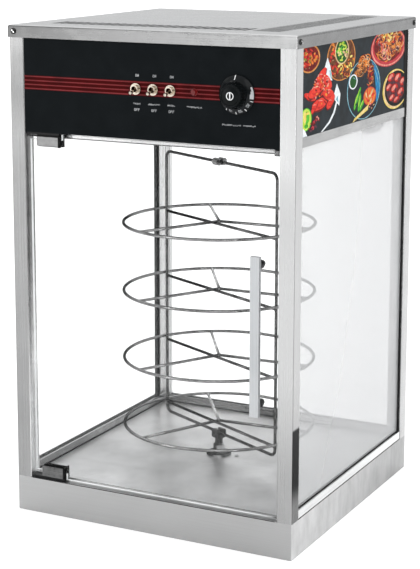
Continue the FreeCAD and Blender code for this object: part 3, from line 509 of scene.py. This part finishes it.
def add_blob(bm, centre, radius, squash=(1.0, 1.0, 1.0)):
    made = bmesh.ops.create_icosphere(bm, subdivisions=3, radius=radius)
    for vert in made["verts"]:
        vert.co = Vector(centre) + Vector([c * s for c, s in zip(vert.co, squash)])


# ---- rack
def make_ring_shelves():
    spoke_rod, hub = ROD * 0.96, 0.0038
    for tier, (z, tier_turn) in enumerate(zip(TIERS, TIER_TURNS), 1):
        centre = Vector((0.0, 0.0, z))
        bm = bmesh.new()
        add_tube(bm, [centre + Vector((x, y, 0.0)) * RING_RADIUS for x, y in circle(160)], ROD, closed=True)
        for spoke in SPOKES:
            angle = radians(spoke + tier_turn)
            direction = Vector((cos(angle), sin(angle), 0.0))
            ends = [centre, centre + direction * (RING_RADIUS - 0.001)]
            # The back spoke is made in the lighter wire as a painted highlight.
            if spoke == BACK_SPOKE:
                painted_highlight_spoke = bmesh.new()
                add_tube(painted_highlight_spoke, ends, spoke_rod)
                finish_mesh("ring_shelf_%d_back_spoke" % tier, painted_highlight_spoke, WIRE_PAINTED_HIGHLIGHT, "rack")
            else:
                add_tube(bm, ends, spoke_rod)
        add_blob(bm, centre, hub, (1.0, 1.0, 0.8))
        obj = finish_mesh("ring_shelf_%d_wire" % tier, bm, WIRE, "rack")
        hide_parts("ring_shelf_%d" % tier)


def make_rack_frame():
    low, high = FRAME_Z[0] + FRAME_BEND, FRAME_Z[1] - FRAME_BEND
    bend_steps, weld = 8, 0.0032
    turn = Matrix.Rotation(radians(FRAME_ANGLE), 4, "Z")
    path = []
    for side, z, start in ((1, low, -90), (1, high, 0), (-1, high, 90), (-1, low, 180)):
        cx = side * (FRAME_REACH - FRAME_BEND)
        for step in range(bend_steps + 1):
            angle = radians(start + 90 * step / bend_steps)
            path.append(turn @ Vector((cx + FRAME_BEND * cos(angle), 0.0, z + FRAME_BEND * sin(angle))))
    bm = bmesh.new()
    add_tube(bm, path, ROD, closed=True)
    for z in TIERS:
        level = z - 2 * ROD + 0.00005
        ends = [turn @ Vector((side * (FRAME_REACH - 0.001), 0.0, level)) for side in (-1, 1)]
        add_tube(bm, ends, ROD * 0.96)
        for end in ends:
            add_blob(bm, end, weld)
    obj = finish_mesh("rack_frame_wire", bm, WIRE_DARK, "rack")
    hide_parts("rack_frame")


# ---- fascia print
def front_point(u, v, depth):
    return Vector((u, PANEL_FRONT - PRINT_LIFT - depth, v))


STROKES = {
    "O": [[(0, 0), (1, 0), (1, 1), (0, 1), (0, 0)]],
    "N": [[(0, 0), (0, 1), (1, 0), (1, 1)]],
    "F": [[(0, 0), (0, 1), (1, 1)], [(0, 0.55), (0.8, 0.55)]],
    "5": [[(1, 1), (0, 1), (0, 0.55), (1, 0.5), (1, 0), (0, 0)]],
    "1": [[(0.5, 0), (0.5, 1)]],
    "2": [[(0, 1), (1, 1), (1, 0.5), (0, 0.45), (0, 0), (1, 0)]],
}
STROKES["0"] = STROKES["O"]


def add_stroke(bm, a, b, width, thickness, to_point):
    du, dv = b[0] - a[0], b[1] - a[1]
    length = hypot(du, dv)
    du, dv = du / length * width / 2, dv / length * width / 2
    outline = [(a[0] - du - dv, a[1] - dv + du), (a[0] - du + dv, a[1] - dv - du),
               (b[0] + du + dv, b[1] + dv - du), (b[0] + du - dv, b[1] + dv + du)]
    add_sheet(bm, outline, thickness, to_point)


def add_word(bm, word, cu, cv, height, width, to_point, turn=0.0):
    glyph, gap = height * 0.62, height * 0.38
    total = len(word) * glyph + (len(word) - 1) * gap
    for index, letter in enumerate(word):
        base = -total / 2 + index * (glyph + gap)
        for line in STROKES[letter]:
            points = [turned(base + u * glyph, (v - 0.5) * height, turn, cu, cv) for u, v in line]
            for a, b in zip(points, points[1:]):
                add_stroke(bm, a, b, width, INK, to_point)


def add_label(bm, x, z, width):
    """A run of small unreadable ticks, the size of a printed word."""
    tick, bar, tall = 0.0004, 0.0005, 0.0012
    left = x - width / 2
    while left < x + width / 2 - 0.0008:
        size = random.choice((0.0011, 0.0015, 0.0019))
        low, high = random.choice(((-tall, tall), (-tall, tick), (-tick, tall), (-tall, tall)))
        for start in (left, left + size - tick):
            add_sheet(bm, rectangle(start, start + tick, z + low, z + high), INK, front_point)
        level = z + random.choice((low, 0.0, high - bar))
        add_sheet(bm, rectangle(left, left + size, level, level + bar), BAR_INK, front_point)
        left += size + random.choice((0.0005, 0.0005, 0.0006, 0.0013))


def make_fascia_print():
    stripes, ground, marks = bmesh.new(), bmesh.new(), bmesh.new()
    for left, right in STRIPE_RUNS:
        for z in STRIPE_Z:
            outline = rectangle(left, right, z - STRIPE_HALF, z + STRIPE_HALF)
            add_sheet(stripes, outline, STRIPE_INK, front_point)
        outline = rectangle(left, right, STRIPE_Z[-1] - STRIPE_GROUND, STRIPE_Z[0] + STRIPE_GROUND)
        add_sheet(ground, outline, GROUND_INK, front_point)
    finish_mesh("fascia_stripes", stripes, RED_INK, "cabinet", smooth=False)
    finish_mesh("fascia_stripe_ground", ground, DARK_RED_INK, "cabinet", smooth=False)
    random.seed(LABEL_SEED)
    letter, line = 0.0032, 0.0007
    for x, width in zip(SWITCH_X, (0.0124, 0.0198, 0.0129)):
        add_word(marks, "ON", x + 0.0015, CONTROL_Z + 0.0201, letter, line, front_point)
        add_word(marks, "OFF", x + 0.0008, CONTROL_Z - 0.0308, letter, line, front_point)
        add_label(marks, x + 0.001, CONTROL_Z - 0.0219, width)
    add_label(marks, PILOT_X + 0.0005, CONTROL_Z - 0.0221, 0.026)
    for offset, width in ((-0.0085, 0.031), (0.019, 0.019)):
        add_label(marks, KNOB_X + offset, CONTROL_Z - 0.0445, width)
    finish_mesh("fascia_marks", marks, GREY_INK, "cabinet", smooth=False)


# ---- knob
SKIRT_RADIUS = 0.0284
SKIRT_RIM, SKIRT_NECK = (0.0013, 0.0279), (0.0069, 0.0204)  # (along, radius) of the slope's ends
GRIP_FRONT = 0.0229
SCALE_TOP = 0.0276
TICK = 0.0001
FLUTES, FLUTE_DEPTH = 24, 0.045
KNOB_CENTRE = (KNOB_X, SKIRT_BACK, CONTROL_Z)
TO_FRONT = (0, -1, 0)


def slope_point(u, v, depth):
    """A point on the skirt's slope, at (u, v) from the knob's axis."""
    slope = (SKIRT_NECK[0] - SKIRT_RIM[0]) / (SKIRT_RIM[1] - SKIRT_NECK[1])
    along = SKIRT_RIM[0] + (SKIRT_RIM[1] - hypot(u, v)) * slope
    return Vector((KNOB_X + u, SKIRT_BACK - along - 0.00006 - depth, CONTROL_Z + v))


def on_skirt(angle, radius):
    return radius * cos(radians(angle)), radius * sin(radians(angle))


def add_arc_band(bm, to_point, start, stop, inner, outer, count=8):
    angles = [start + (stop - start) * step / count for step in range(count + 1)]
    for first, second in zip(angles, angles[1:]):
        corners = ((first, outer), (second, outer), (second, inner), (first, inner))
        add_sheet(bm, [on_skirt(*corner) for corner in corners], TICK, to_point)


def make_knob():
    def flute(angle):
        return 1.0 - FLUTE_DEPTH * (0.5 + 0.5 * cos(FLUTES * angle)) ** 2

    skirt, grip, cap = bmesh.new(), bmesh.new(), bmesh.new()
    add_revolved(skirt, [(0.0, 0.0), (0.0, 0.0279), (0.0004, SKIRT_RADIUS), (0.0009, SKIRT_RADIUS), SKIRT_RIM,
                         SKIRT_NECK, (0.0071, 0.0)], KNOB_CENTRE, TO_FRONT, 96)
    finish_mesh("knob_skirt", skirt, SKIRT, "temperature_knob")
    add_revolved(grip, [(0.0062, 0.0), (0.0062, 0.0199), (0.0075, 0.0201), (0.021, 0.0170), (0.0224, 0.0163),
                        (GRIP_FRONT, 0.0154), (GRIP_FRONT, 0.0142), (0.0224, 0.0138), (0.0224, 0.0)],
                 KNOB_CENTRE, TO_FRONT, 192, flute)
    obj = finish_mesh("knob_grip", grip, KNOB, "temperature_knob")
    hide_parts("thermostat_knob")
    add_revolved(cap, [(0.0218, 0.0), (0.0218, 0.0134), (0.0226, 0.0133), (GRIP_FRONT, 0.0125),
                       (0.02295, 0.0)], KNOB_CENTRE, TO_FRONT, 64)
    obj = finish_mesh("knob_cap_disc", cap, KNOB, "temperature_knob")
    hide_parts("knob_cap")


def make_knob_scale():
    white, grey = bmesh.new(), bmesh.new()
    for angle in (-19.0, -54.0, -90.0, -126.0):
        add_stroke(white, on_skirt(angle, 0.0248), on_skirt(angle, 0.0275), 0.0008, TICK, slope_point)
    add_stroke(white, on_skirt(93.0, 0.0225), on_skirt(93.0, SCALE_TOP), 0.0011, TICK, slope_point)
    for angle, label in ((-36.0, "20"), (-72.0, "50"), (-108.0, "10")):
        cu, cv = on_skirt(angle, 0.0241)
        add_word(grey, label, cu, cv, 0.003, 0.00042, slope_point, radians(angle - 90.0))
    for start, stop, inner in ((27.0, 14.0, 0.0254), (14.0, 5.0, 0.0242), (5.0, -11.0, 0.0230)):
        add_arc_band(grey, slope_point, start, stop, inner, SCALE_TOP)
    finish_mesh("knob_scale", white, WHITE_INK, "temperature_knob", smooth=False)
    finish_mesh("knob_scale_grey", grey, GREY_INK, "temperature_knob", smooth=False)


def make_knob_pointer():
    def cap_point(u, v, depth):
        return Vector((u, SKIRT_BACK - 0.02296 - depth, v))

    line, ring, width, ink = 0.0045, (0.0058, 0.0047), 0.0016, 0.00004
    bm = bmesh.new()
    add_stroke(bm, (KNOB_X, CONTROL_Z - line), (KNOB_X, CONTROL_Z + line), width, ink, cap_point)
    add_ring_sheet(bm, *[ellipse(KNOB_X, CONTROL_Z, radius, radius) for radius in ring], ink, cap_point)
    finish_mesh("knob_pointer", bm, WHITE_INK, "temperature_knob", smooth=False)


# ---- seals
SIDE_SEALS = (
    ((0.2350, -0.2125, 0.0695), (0.2362, 0.2085, 0.0711)),  # outside the pane, on the low rail
    ((0.2300, -0.2125, 0.0695), (0.2310, 0.2085, 0.0706)),  # inside the pane
    ((0.2342, 0.2082, 0.0695), (0.2364, 0.2125, 0.6130)),  # along the rear post, outside
    ((0.2300, 0.2086, 0.0695), (0.2342, 0.2125, 0.6130)),  # along the rear post, inside
    ((0.2300, 0.1995, 0.6130), (0.2386, 0.2125, 0.7735)),  # behind the printed panel
    ((0.2388, -0.2125, 0.0559), (0.23995, 0.2125, 0.0569)),  # under the low rail
    ((0.2388, 0.2118, 0.0559), (0.23975, 0.2126, 0.0702)),  # at the low rail's rear end
    ((0.2236, -0.2125, 0.0574), (0.2256, 0.2225, 0.0584)),  # at the floor plate's edge
)
CROSS_SEALS = (
    ((-0.2125, 0.2212, 0.0574), (0.2125, 0.2228, 0.0584)),  # at the floor plate's rear edge
    ((-0.2125, 0.2265, 0.0695), (0.2125, 0.2277, 0.0709)),  # under the rear pane
    ((-0.2125, -0.2376, 0.0557), (0.2125, -0.2366, 0.0564)),  # on the front ledge
)


def make_seals():
    bm = bmesh.new()
    for side in (-1, 1):
        for low, high in SIDE_SEALS:
            left, right = sorted((side * low[0], side * high[0]))
            add_box(bm, (left, *low[1:]), (right, *high[1:]))
    for low, high in CROSS_SEALS:
        add_box(bm, low, high)
    obj = finish_mesh("glazing_seals", bm, RUBBER, "cabinet", smooth=False)
    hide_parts("glass_gaskets")


# ---- screws
def add_slot(bm, centre, axis, along, across, radius, height):
    """One arm of a cross recess, sunk in the head."""
    outline = rectangle(-radius * 0.6, radius * 0.6, -radius * 0.17, radius * 0.17)
    add_plate(bm, *[[Vector(centre) + axis * depth + along * u + across * v for u, v in outline]
                    for depth in (height * 0.55, height * 1.04)])


def add_cross_head(heads, recess, centre, axis, size, glint=None):
    """A domed screw head with a cross recess, whose second arm goes to glint if given: a painted glint on the
    lid screws.
    """
    axis = Vector(axis)
    radius, height = size
    add_revolved(heads, [(0.0, radius * 0.98), (height * 0.35, radius), (height * 0.75, radius * 0.82),
                         (height * 0.97, radius * 0.5), (height, 0.0)], centre, axis, 32)
    flat = axis.cross(Vector((0, 0, 1)))
    side = (flat if flat.length > 0.5 else Vector((1, 0, 0))).normalized()
    other = axis.cross(side)
    side, other = (side + other).normalized(), (other - side).normalized()
    add_slot(recess, centre, axis, side, other, radius, height)
    add_slot(glint or recess, centre, axis, other, side, radius, height)


def make_case_screws():
    front_x, front_y = 0.231, 0.240
    side_x, side_y = 0.2425, 0.229
    base_y, shank, shank_top = 0.180, 0.002, 0.0085
    places = [((side * front_x, side * front_y, LID_SCREW_Z), (0, side, 0)) for side in (-1, 1)]
    for side in (-1, 1):
        places += [((side * side_x, y, LID_SCREW_Z), (side, 0, 0)) for y in (-side_y, side_y)]
    heads, recess, glint = bmesh.new(), bmesh.new(), bmesh.new()
    for centre, axis in places:
        add_cross_head(heads, recess, centre, axis, LID_SCREW, glint)
    for x in (-front_x, front_x):
        for y in (-base_y, base_y):
            add_revolved(heads, [(0.0, 0.0), (0.00001, 0.004), (0.0015, shank), (shank_top, shank),
                                 (shank_top, 0.0)], (x, y, 0.00002), (0, 0, 1), 24)
    # The bright second arm of each lid screw's recess is a painted glint.
    finish_mesh("case_screw_painted_glints", glint, STEEL_BRIGHT, "cabinet", smooth=False)
    obj = finish_mesh("case_screw_heads", heads, HEAD_DARK, "cabinet")
    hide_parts("case_screws")
    finish_mesh("case_screw_recesses", recess, RECESS, "cabinet", smooth=False)


def make_floor_screws():
    heads, recess, motor_heads = bmesh.new(), bmesh.new(), bmesh.new()
    for angle in map(radians, (30, 120, 210, 300)):
        place = (FLANGE_SCREW_REACH * cos(angle), FLANGE_SCREW_REACH * sin(angle), FLANGE_TOP)
        add_cross_head(heads, recess, place, (0, 0, 1), FLOOR_SCREW)
    for x in (-MOTOR_SCREW_X, MOTOR_SCREW_X):
        add_cross_head(motor_heads, recess, (x, 0.0, FLOOR_TOP), (0, 0, 1), FLOOR_SCREW, motor_heads)
    finish_mesh("motor_screw_heads", motor_heads, STEEL_H, "cabinet")
    obj = finish_mesh("floor_screw_heads", heads, HEAD_DARK, "cabinet")
    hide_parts("floor_screws")
    finish_mesh("floor_screw_recesses", recess, RECESS, "cabinet", smooth=False)


# ---- toggles
def make_toggle_levers():
    tilt = radians(16.0)
    direction = (0.0, -cos(tilt), -sin(tilt))
    profile = [(-0.003, 0.0), (-0.0026, 0.0016), (-0.0012, 0.0029), (0.0, 0.0032), (0.0016, 0.0027),
               (0.0028, 0.0019), (0.008, 0.0021), (0.0135, 0.0026), (0.0165, 0.0028), (0.018, 0.0022),
               (0.0188, 0.0)]
    bodies = ("light_toggle", "turntable_toggle", "heater_toggle")
    for number, (x, body) in enumerate(zip(SWITCH_X, bodies), 1):
        bm = bmesh.new()
        add_revolved(bm, profile, (x, LEVER_PIVOT_Y, CONTROL_Z), direction, 32)
        obj = finish_mesh("toggle_lever_%d_turned" % number, bm, NICKEL, body)
        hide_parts("toggle_lever_%d" % number)


# ---- food print
PRINT_COLORS = {
    "cream": ((0.5, 0.33, 0.16), (0.72, 0.52, 0.3)), "orange": ((0.5, 0.11, 0.015), (0.7, 0.24, 0.04)),
    "orange_rim": ((0.42, 0.14, 0.03), (0.62, 0.28, 0.08)), "red": ((0.36, 0.012, 0.01), (0.55, 0.03, 0.02)),
    "bright_red": ((0.55, 0.02, 0.014), (0.68, 0.05, 0.03)),
    "dark_red": ((0.07, 0.004, 0.004), (0.2, 0.012, 0.01)), "pink": ((0.55, 0.14, 0.11), (0.7, 0.3, 0.24)),
    "rim_red": ((0.35, 0.02, 0.03), (0.5, 0.05, 0.06)), "brown": ((0.07, 0.022, 0.008), (0.18, 0.06, 0.02)),
    "olive": ((0.1, 0.09, 0.012), (0.3, 0.24, 0.03)), "green": ((0.03, 0.26, 0.015), (0.1, 0.45, 0.04)),
    "dark_green": ((0.004, 0.04, 0.008), (0.015, 0.1, 0.014)),
    "lime": ((0.35, 0.5, 0.03), (0.55, 0.66, 0.12)),
    "yellow": ((0.6, 0.45, 0.05), (0.78, 0.64, 0.22)), "white": ((0.6, 0.64, 0.66), (0.78, 0.8, 0.82)),
    "pale_blue": ((0.1, 0.26, 0.34), (0.25, 0.45, 0.5)), "blue": ((0.008, 0.11, 0.27), (0.02, 0.22, 0.42)),
    "slate": ((0.008, 0.012, 0.016), (0.02, 0.026, 0.034)), "black": (0.002, 0.005),
    "purple": ((0.03, 0.012, 0.022), (0.1, 0.035, 0.05)),
}
PRINT_INKS = {key: plain("print_" + key, dark, light, rough=(0.5, 0.6), scale=170.0, specular=0.06)
              for key, (dark, light) in PRINT_COLORS.items()}


def clipped(outline):
    """Cuts an outline back to the printed panel."""
    sides = ((0, PANEL_Y[0], 1), (0, PANEL_Y[1], -1), (1, PANEL_Z[0], 1), (1, PANEL_Z[1], -1))
    for axis, limit, sign in sides:
        kept = []
        for index, point in enumerate(outline):
            before = outline[index - 1]
            inside = (point[axis] - limit) * sign >= 0
            was_inside = (before[axis] - limit) * sign >= 0
            if inside != was_inside:
                t = (limit - before[axis]) / (point[axis] - before[axis])
                kept.append([a + t * (b - a) for a, b in zip(before, point)])
            if inside:
                kept.append(point)
        outline = kept
    return outline


def arc(cy, cz, ry, rz, start, stop, width, count=10):
    """A curved stroke that tapers to both ends."""
    outer, inner = [], []
    for index in range(count + 1):
        t = index / count
        angle = radians(start + (stop - start) * t)
        half = width / 2 * (0.15 + sin(pi * t))
        outer.append((cy + (ry + half * 1.6) * cos(angle), cz + (rz + half) * sin(angle)))
        inner.append((cy + (ry - half * 1.6) * cos(angle), cz + (rz - half) * sin(angle)))
    return outer + inner[::-1]


def strewn(cy, cz, ry, rz, count):
    """Random places in an ellipse."""
    for _ in range(count):
        angle = random.uniform(0.0, 2 * pi)
        reach = sqrt(random.random())
        yield cy + ry * reach * cos(angle), cz + rz * reach * sin(angle)


class Painting:
    """The print's shapes in millimetres, from the back layer to the front one."""

    def __init__(self):
        self.items = []

    def put(self, key, *outlines):
        self.items.extend((key, outline) for outline in outlines)

    def dish(self, key, cy, cz, ry, rz, rim, fill):
        self.put(key, ellipse(cy, cz, ry, rz))
        self.put(fill, ellipse(cy, cz, ry - rim * 2.0, rz - rim))

    def chips(self, keys, cy, cz, ry, rz, count, size=1.0):
        """Small irregular flakes."""
        for y, z in strewn(cy, cz, ry, rz, count):
            key = random.choice(keys)
            half_y, half_z = random.uniform(3.5, 8.0) * size, random.uniform(1.3, 3.0) * size
            self.put(key, ellipse(y, z, half_y, half_z, 0.3, random.uniform(-0.6, 0.6), 11))

    def curls(self, keys, cy, cz, ry, rz, count, size=1.0):
        """Small curved strokes."""
        for y, z in strewn(cy, cz, ry, rz, count):
            start, key = random.uniform(0.0, 360.0), random.choice(keys)
            half_y, half_z = random.uniform(8.0, 16.0) * size, random.uniform(4.0, 8.0) * size
            stop = start + random.uniform(90.0, 200.0)
            self.put(key, arc(y, z, half_y, half_z, start, stop, random.uniform(1.2, 2.6) * size))


def paint_bowls(art):
    """A small bowl at the front edge, and a deep dish with a green salad on it."""
    art.dish("orange_rim", -190, 739, 38, 20.5, 2.2, "dark_red")
    art.chips(("red", "orange", "cream", "dark_red", "olive", "red"), -190, 739, 28, 14, 46, 0.9)
    art.dish("orange_rim", -72, 731, 55, 34, 1.6, "brown")
    art.chips(("red", "orange", "bright_red", "dark_red", "cream"), -98, 730, 20, 26, 50, 0.8)
    art.chips(("brown", "olive", "dark_red", "purple", "yellow", "orange"), -52, 722, 30, 22, 90, 0.75)
    art.dish("cream", -70, 741, 27, 19.5, 1.8, "dark_green")
    art.chips(("green", "lime", "dark_green", "lime", "cream"), -70, 741, 19, 14, 44, 0.8)


def paint_red_pieces(art):
    """Red pieces on a white plate that shows parts of its rim."""
    art.put("white", [(-124.5, 735.5), (-138, 718), (-118.5, 702), (-106, 700.4), (-114, 722)],
            [(-88, 694), (-74, 677.5), (-78, 660), (-102, 674)],
            [(-84.5, 668), (-95, 651), (-112, 638.5), (-140, 628.3), (-146, 628.3), (-117, 640.5),
             (-100, 653), (-90, 668)])
    art.put("pale_blue", [(-118, 716), (-112, 704), (-108, 703), (-113, 716)],
            [(-84, 676), (-80, 664), (-92, 671)])
    for cy, cz, ry, rz, turn in ((-150, 708, 26, 9, 0.5), (-187, 684, 22, 5, -0.25), (-125, 701, 20, 9, -0.5),
                                 (-165, 691, 30, 9, 0.2), (-152, 670, 30, 9, 0.1), (-120, 682, 26, 10, -0.3),
                                 (-112, 668, 16, 7, 0.4), (-170, 668, 16, 5, 0.6)):
        art.put("dark_red", ellipse(cy, cz - 1.6, ry, rz, 0.1, turn, 24))
        art.put("bright_red", ellipse(cy, cz, ry * 0.95, rz * 0.9, 0.1, turn, 24))
        art.put("red", arc(cy, cz, ry * 0.6, rz * 0.55, 200, 330, 2.4))
        art.put("pink", arc(cy - 2, cz, ry * 0.62, rz * 0.6, 40, 120, 1.3))
    art.chips(("red", "dark_red", "red", "orange", "pink"), -148, 692, 34, 24, 46, 0.7)
    art.chips(("orange", "pink", "cream"), -140, 700, 24, 14, 12, 0.45)


def paint_blue_plate(art):
    """A dark plate with a blue rim, fried pieces, a dip, green leaves and a red dish."""
    art.dish("pale_blue", 20.4, 676, 68.5, 47, 1.3, "slate")
    art.put("blue", [(50, 716.5), (68, 707), (82, 692), (87, 672), (80, 655), (72, 650), (70, 672), (66, 690),
                     (58, 703)])
    art.put("pale_blue", arc(22, 676, 57, 38, 5, 48, 1.6), arc(20, 676, 52, 34, -45, -10, 1.2))
    art.put("brown", ellipse(20, 714, 26, 8, 0.3, -0.2, 16), ellipse(-2, 704, 15, 7, 0.3, 0.3, 16))
    art.put("dark_red", ellipse(46, 696, 12, 17, 0.3, 0.3, 16), ellipse(14, 724, 14, 5, 0.3, 0.2, 14))
    art.curls(("brown", "orange", "orange_rim", "orange", "cream", "orange"), 20, 715, 22, 10, 44, 0.8)
    art.curls(("brown", "orange_rim", "orange", "brown"), -2, 704, 13, 7, 24, 0.7)
    art.curls(("brown", "red", "orange", "purple", "orange_rim"), 46, 694, 11, 15, 34, 0.7)
    art.dish("white", -24.3, 690.7, 17, 11.4, 1.9, "dark_green")
    art.put("pale_blue", arc(-24.3, 690.7, 9, 6, 20, 100, 1.0))
    for cy, cz, ry, rz, turn in ((-12, 659, 15, 5.5, 1.0), (2, 657, 16, 5.5, 1.25), (-3, 668, 17, 4.5, 0.9),
                                 (12, 652, 13, 4.5, 0.7)):
        art.put("dark_green", ellipse(cy, cz - 1.2, ry, rz, 0.05, turn, 20))
        art.put("green", ellipse(cy, cz, ry * 0.9, rz * 0.85, 0.05, turn, 20))
        art.put("lime", ellipse(cy - 1.5, cz + 1.2, ry * 0.6, rz * 0.22, 0.05, turn, 14))
    art.dish("rim_red", 44.9, 662.4, 27, 14.5, 1.2, "orange")
    for index in range(9):
        angle = radians(index * 40 + 12)
        y, z = 44.9 + 14 * cos(angle), 662.4 + 7.4 * sin(angle)
        art.put(("red", "cream", "bright_red")[index % 3], ellipse(y, z, 7.5, 2.1, 0.2, angle * 0.7, 12))
    art.put("cream", ellipse(44.9, 662.4, 4, 2.2))
    art.chips(("pink", "cream", "dark_red"), 52, 646, 12, 5, 8, 0.5)
    art.put("yellow", [(41, 650), (37, 641.5), (-24, 628.4), (-16, 634)])
    art.put("cream", [(38, 647), (36, 644), (-20, 629.5), (-18, 631)])


def paint_red_bowl(art):
    art.dish("rim_red", 123, 733, 77, 31, 1.2, "pink")
    art.put("rim_red", ellipse(123, 734, 70, 28.5))
    art.put("dark_red", ellipse(123, 736, 64, 26))
    art.curls(("orange", "cream", "pink", "purple", "red", "orange", "orange_rim", "brown"),
              123, 737, 52, 19, 150, 1.1)
    art.chips(("yellow", "cream", "orange"), 126, 750, 26, 7, 12, 0.9)


def paint_tomatoes(art):
    art.dish("yellow", 156.5, 663, 56, 32, 1.6, "cream")
    art.put("black", ellipse(160, 663.6, 51, 28.6))
    art.put("purple", ellipse(158, 664, 42, 23))
    for cy, cz, ry, rz in ((137, 683, 18, 7.5), (166, 680, 17, 8), (189, 672, 15, 8), (128, 668, 15, 6.5),
                           (152, 664, 19, 8.5), (181, 656, 17, 8), (142, 650, 15, 6), (162, 645, 15, 5.5)):
        art.put("dark_red", ellipse(cy, cz, ry, rz, 0.15, 0.0, 20))
        art.put("red", ellipse(cy - 1, cz + 0.6, ry * 0.8, rz * 0.75, 0.2, 0.2, 16))
        art.put("pink", ellipse(cy - 3, cz + 1.4, ry * 0.55, rz * 0.42, 0.2, 0.3, 12))
        art.put("purple", ellipse(cy + 5, cz - 2.2, ry * 0.3, rz * 0.3, 0.2, 0.3, 12))


def paint_edges(art):
    """Fruit slices in the low front corner, and a black strip at the rear end as a painted shadow."""
    art.dish("green", -200.9, 652.7, 20.5, 16.5, 1.3, "lime")
    art.put("green", ellipse(-198, 655, 9, 9), ellipse(-200, 643, 7, 3.2))
    art.put("yellow", ellipse(-205, 656, 5, 8), ellipse(-196, 661, 6, 2.0))
    art.chips(("dark_red", "rim_red", "purple"), -178, 640, 14, 7, 12, 0.8)
    art.chips(("pink", "rim_red", "dark_red"), -162, 648, 7, 4, 6, 0.7)
    art.put("white", [(-212, 641), (-204, 637), (-196, 628.3), (-212, 628.3)])
    # A painted shadow along the print's rear end.
    art.put("black", [(192, 769.9), (196, 628.1), (199.5, 628.1), (199.5, 769.9)])


def make_food_print():
    random.seed(PRINT_SEED)
    art = Painting()
    for paint in (paint_bowls, paint_red_pieces, paint_blue_plate, paint_red_bowl, paint_tomatoes,
                  paint_edges):
        paint(art)
    thinnest, layer = 0.00003, 0.0000006
    for side, label in ((1, "right"), (-1, "left")):
        def side_point(u, v, depth):
            return Vector((side * (PRINT_X + PRINT_LIFT + depth), u, v))

        sheets = {}
        for level, (key, outline) in enumerate(art.items):
            outline = clipped([(y * MM, z * MM) for y, z in outline])
            if len(outline) > 2:
                sheet = sheets.setdefault(key, bmesh.new())
                add_sheet(sheet, outline, thinnest + layer * level, side_point)
        for key, bm in sheets.items():
            name = "print_%s_%s" % (label, key)
            finish_mesh(name, bm, PRINT_INKS[key], "cabinet", smooth=False)


# ---- stage, light, camera
def make_stage():
    mat, tree, bsdf = node_material("stage_pale")
    noise = object_noise(tree, (2.0, 2.0, 2.0))
    feed(tree, bsdf, Base_Color=ramp_node(tree, noise, (0.3, 0.92), (0.7, 0.94)), Roughness=0.9,
         Specular_IOR_Level=0.1, Emission_Color=(1.0, 1.0, 1.0, 1.0), Emission_Strength=0.22)
    size, level = 30.0, -0.0005
    bm = bmesh.new()
    bm.faces.new([bm.verts.new((x, y, level)) for x, y in rectangle(-size, size, -size, size)])
    floor = add_object("floor", to_mesh("floor", bm, mat))


def add_lamp(name, kind, direction, energy):
    data = bpy.data.lights.new(name, kind)
    data.energy = energy
    lamp = add_object(name, data)
    lamp.rotation_euler = Vector(direction).to_track_quat("-Z", "Y").to_euler()
    return lamp, data


def area_light(name, place, target, size, power):
    lamp, data = add_lamp(name, "AREA", Vector(target) - Vector(place), power)
    lamp.location = place
    data.shape = "RECTANGLE"
    data.size, data.size_y = size


def make_world():
    """A white room behind the case that darkens towards the viewer's side."""
    world = bpy.data.worlds.new("studio")
    world.use_nodes = True
    tree = world.node_tree
    depth = range_node(tree, axis_value(tree, "Generated", "Y"), 0.0, 1.0, -0.35, 0.3, smooth=True)
    color = ramp_node(tree, depth, (0.0, (0.2, 0.205, 0.21)), (1.0, (0.98, 0.99, 1.0)))
    feed(tree, tree.nodes["Background"], Color=color, Strength=1.0)
    bpy.context.scene.world = world


def make_lights():
    sun = add_lamp("soft_sun", "SUN", (0.12, 0.2, -1.0), 2.2)[1]
    sun.angle = radians(120.0)
    area_light("key", (1.8, -2.6, 2.6), (0.0, 0.0, 0.4), (2.6, 2.6), 26.0)
    area_light("side_strip", (2.3, -2.2, 0.6), (0.0, 0.0, 0.6), (0.45, 1.4), 12.0)
    area_light("strip", (-1.6, -2.4, 1.2), (0.0, 0.0, 0.4), (0.5, 1.8), 14.0)


CAMERA_PLACE = (1.17666, -2.33476, 0.94791)
CAMERA_ANGLES = (27.0801, 10.1902, 0.0718)  # azimuth, pitch down and roll, in degrees
CAMERA_LENS = 103.8224  # focal length for a 36 mm sensor
CAMERA_SHIFT = -0.140598


def make_camera():
    azimuth, pitch, roll = map(radians, CAMERA_ANGLES)
    forward = Vector((-sin(azimuth) * cos(pitch), cos(azimuth) * cos(pitch), -sin(pitch)))
    right = Vector((cos(azimuth), sin(azimuth), 0.0))
    up = right.cross(forward)
    level_right = right * cos(roll) + up * sin(roll)
    level_up = up * cos(roll) - right * sin(roll)
    data = bpy.data.cameras.new("camera")
    data.sensor_width = 36.0
    data.lens = CAMERA_LENS
    data.shift_y = CAMERA_SHIFT
    camera = add_object("camera", data)
    basis = Matrix((level_right, level_up, -forward)).transposed().to_4x4()
    camera.matrix_world = Matrix.Translation(CAMERA_PLACE) @ basis
    bpy.context.scene.camera = camera


bpy.context.scene.view_settings.view_transform = "Standard"
dress_cad_nodes()
make_ring_shelves()
make_rack_frame()
make_fascia_print()
make_knob()
make_knob_scale()
make_knob_pointer()
make_seals()
make_case_screws()
make_floor_screws()
make_toggle_levers()
make_food_print()
make_stage()
make_world()
make_lights()
make_camera()
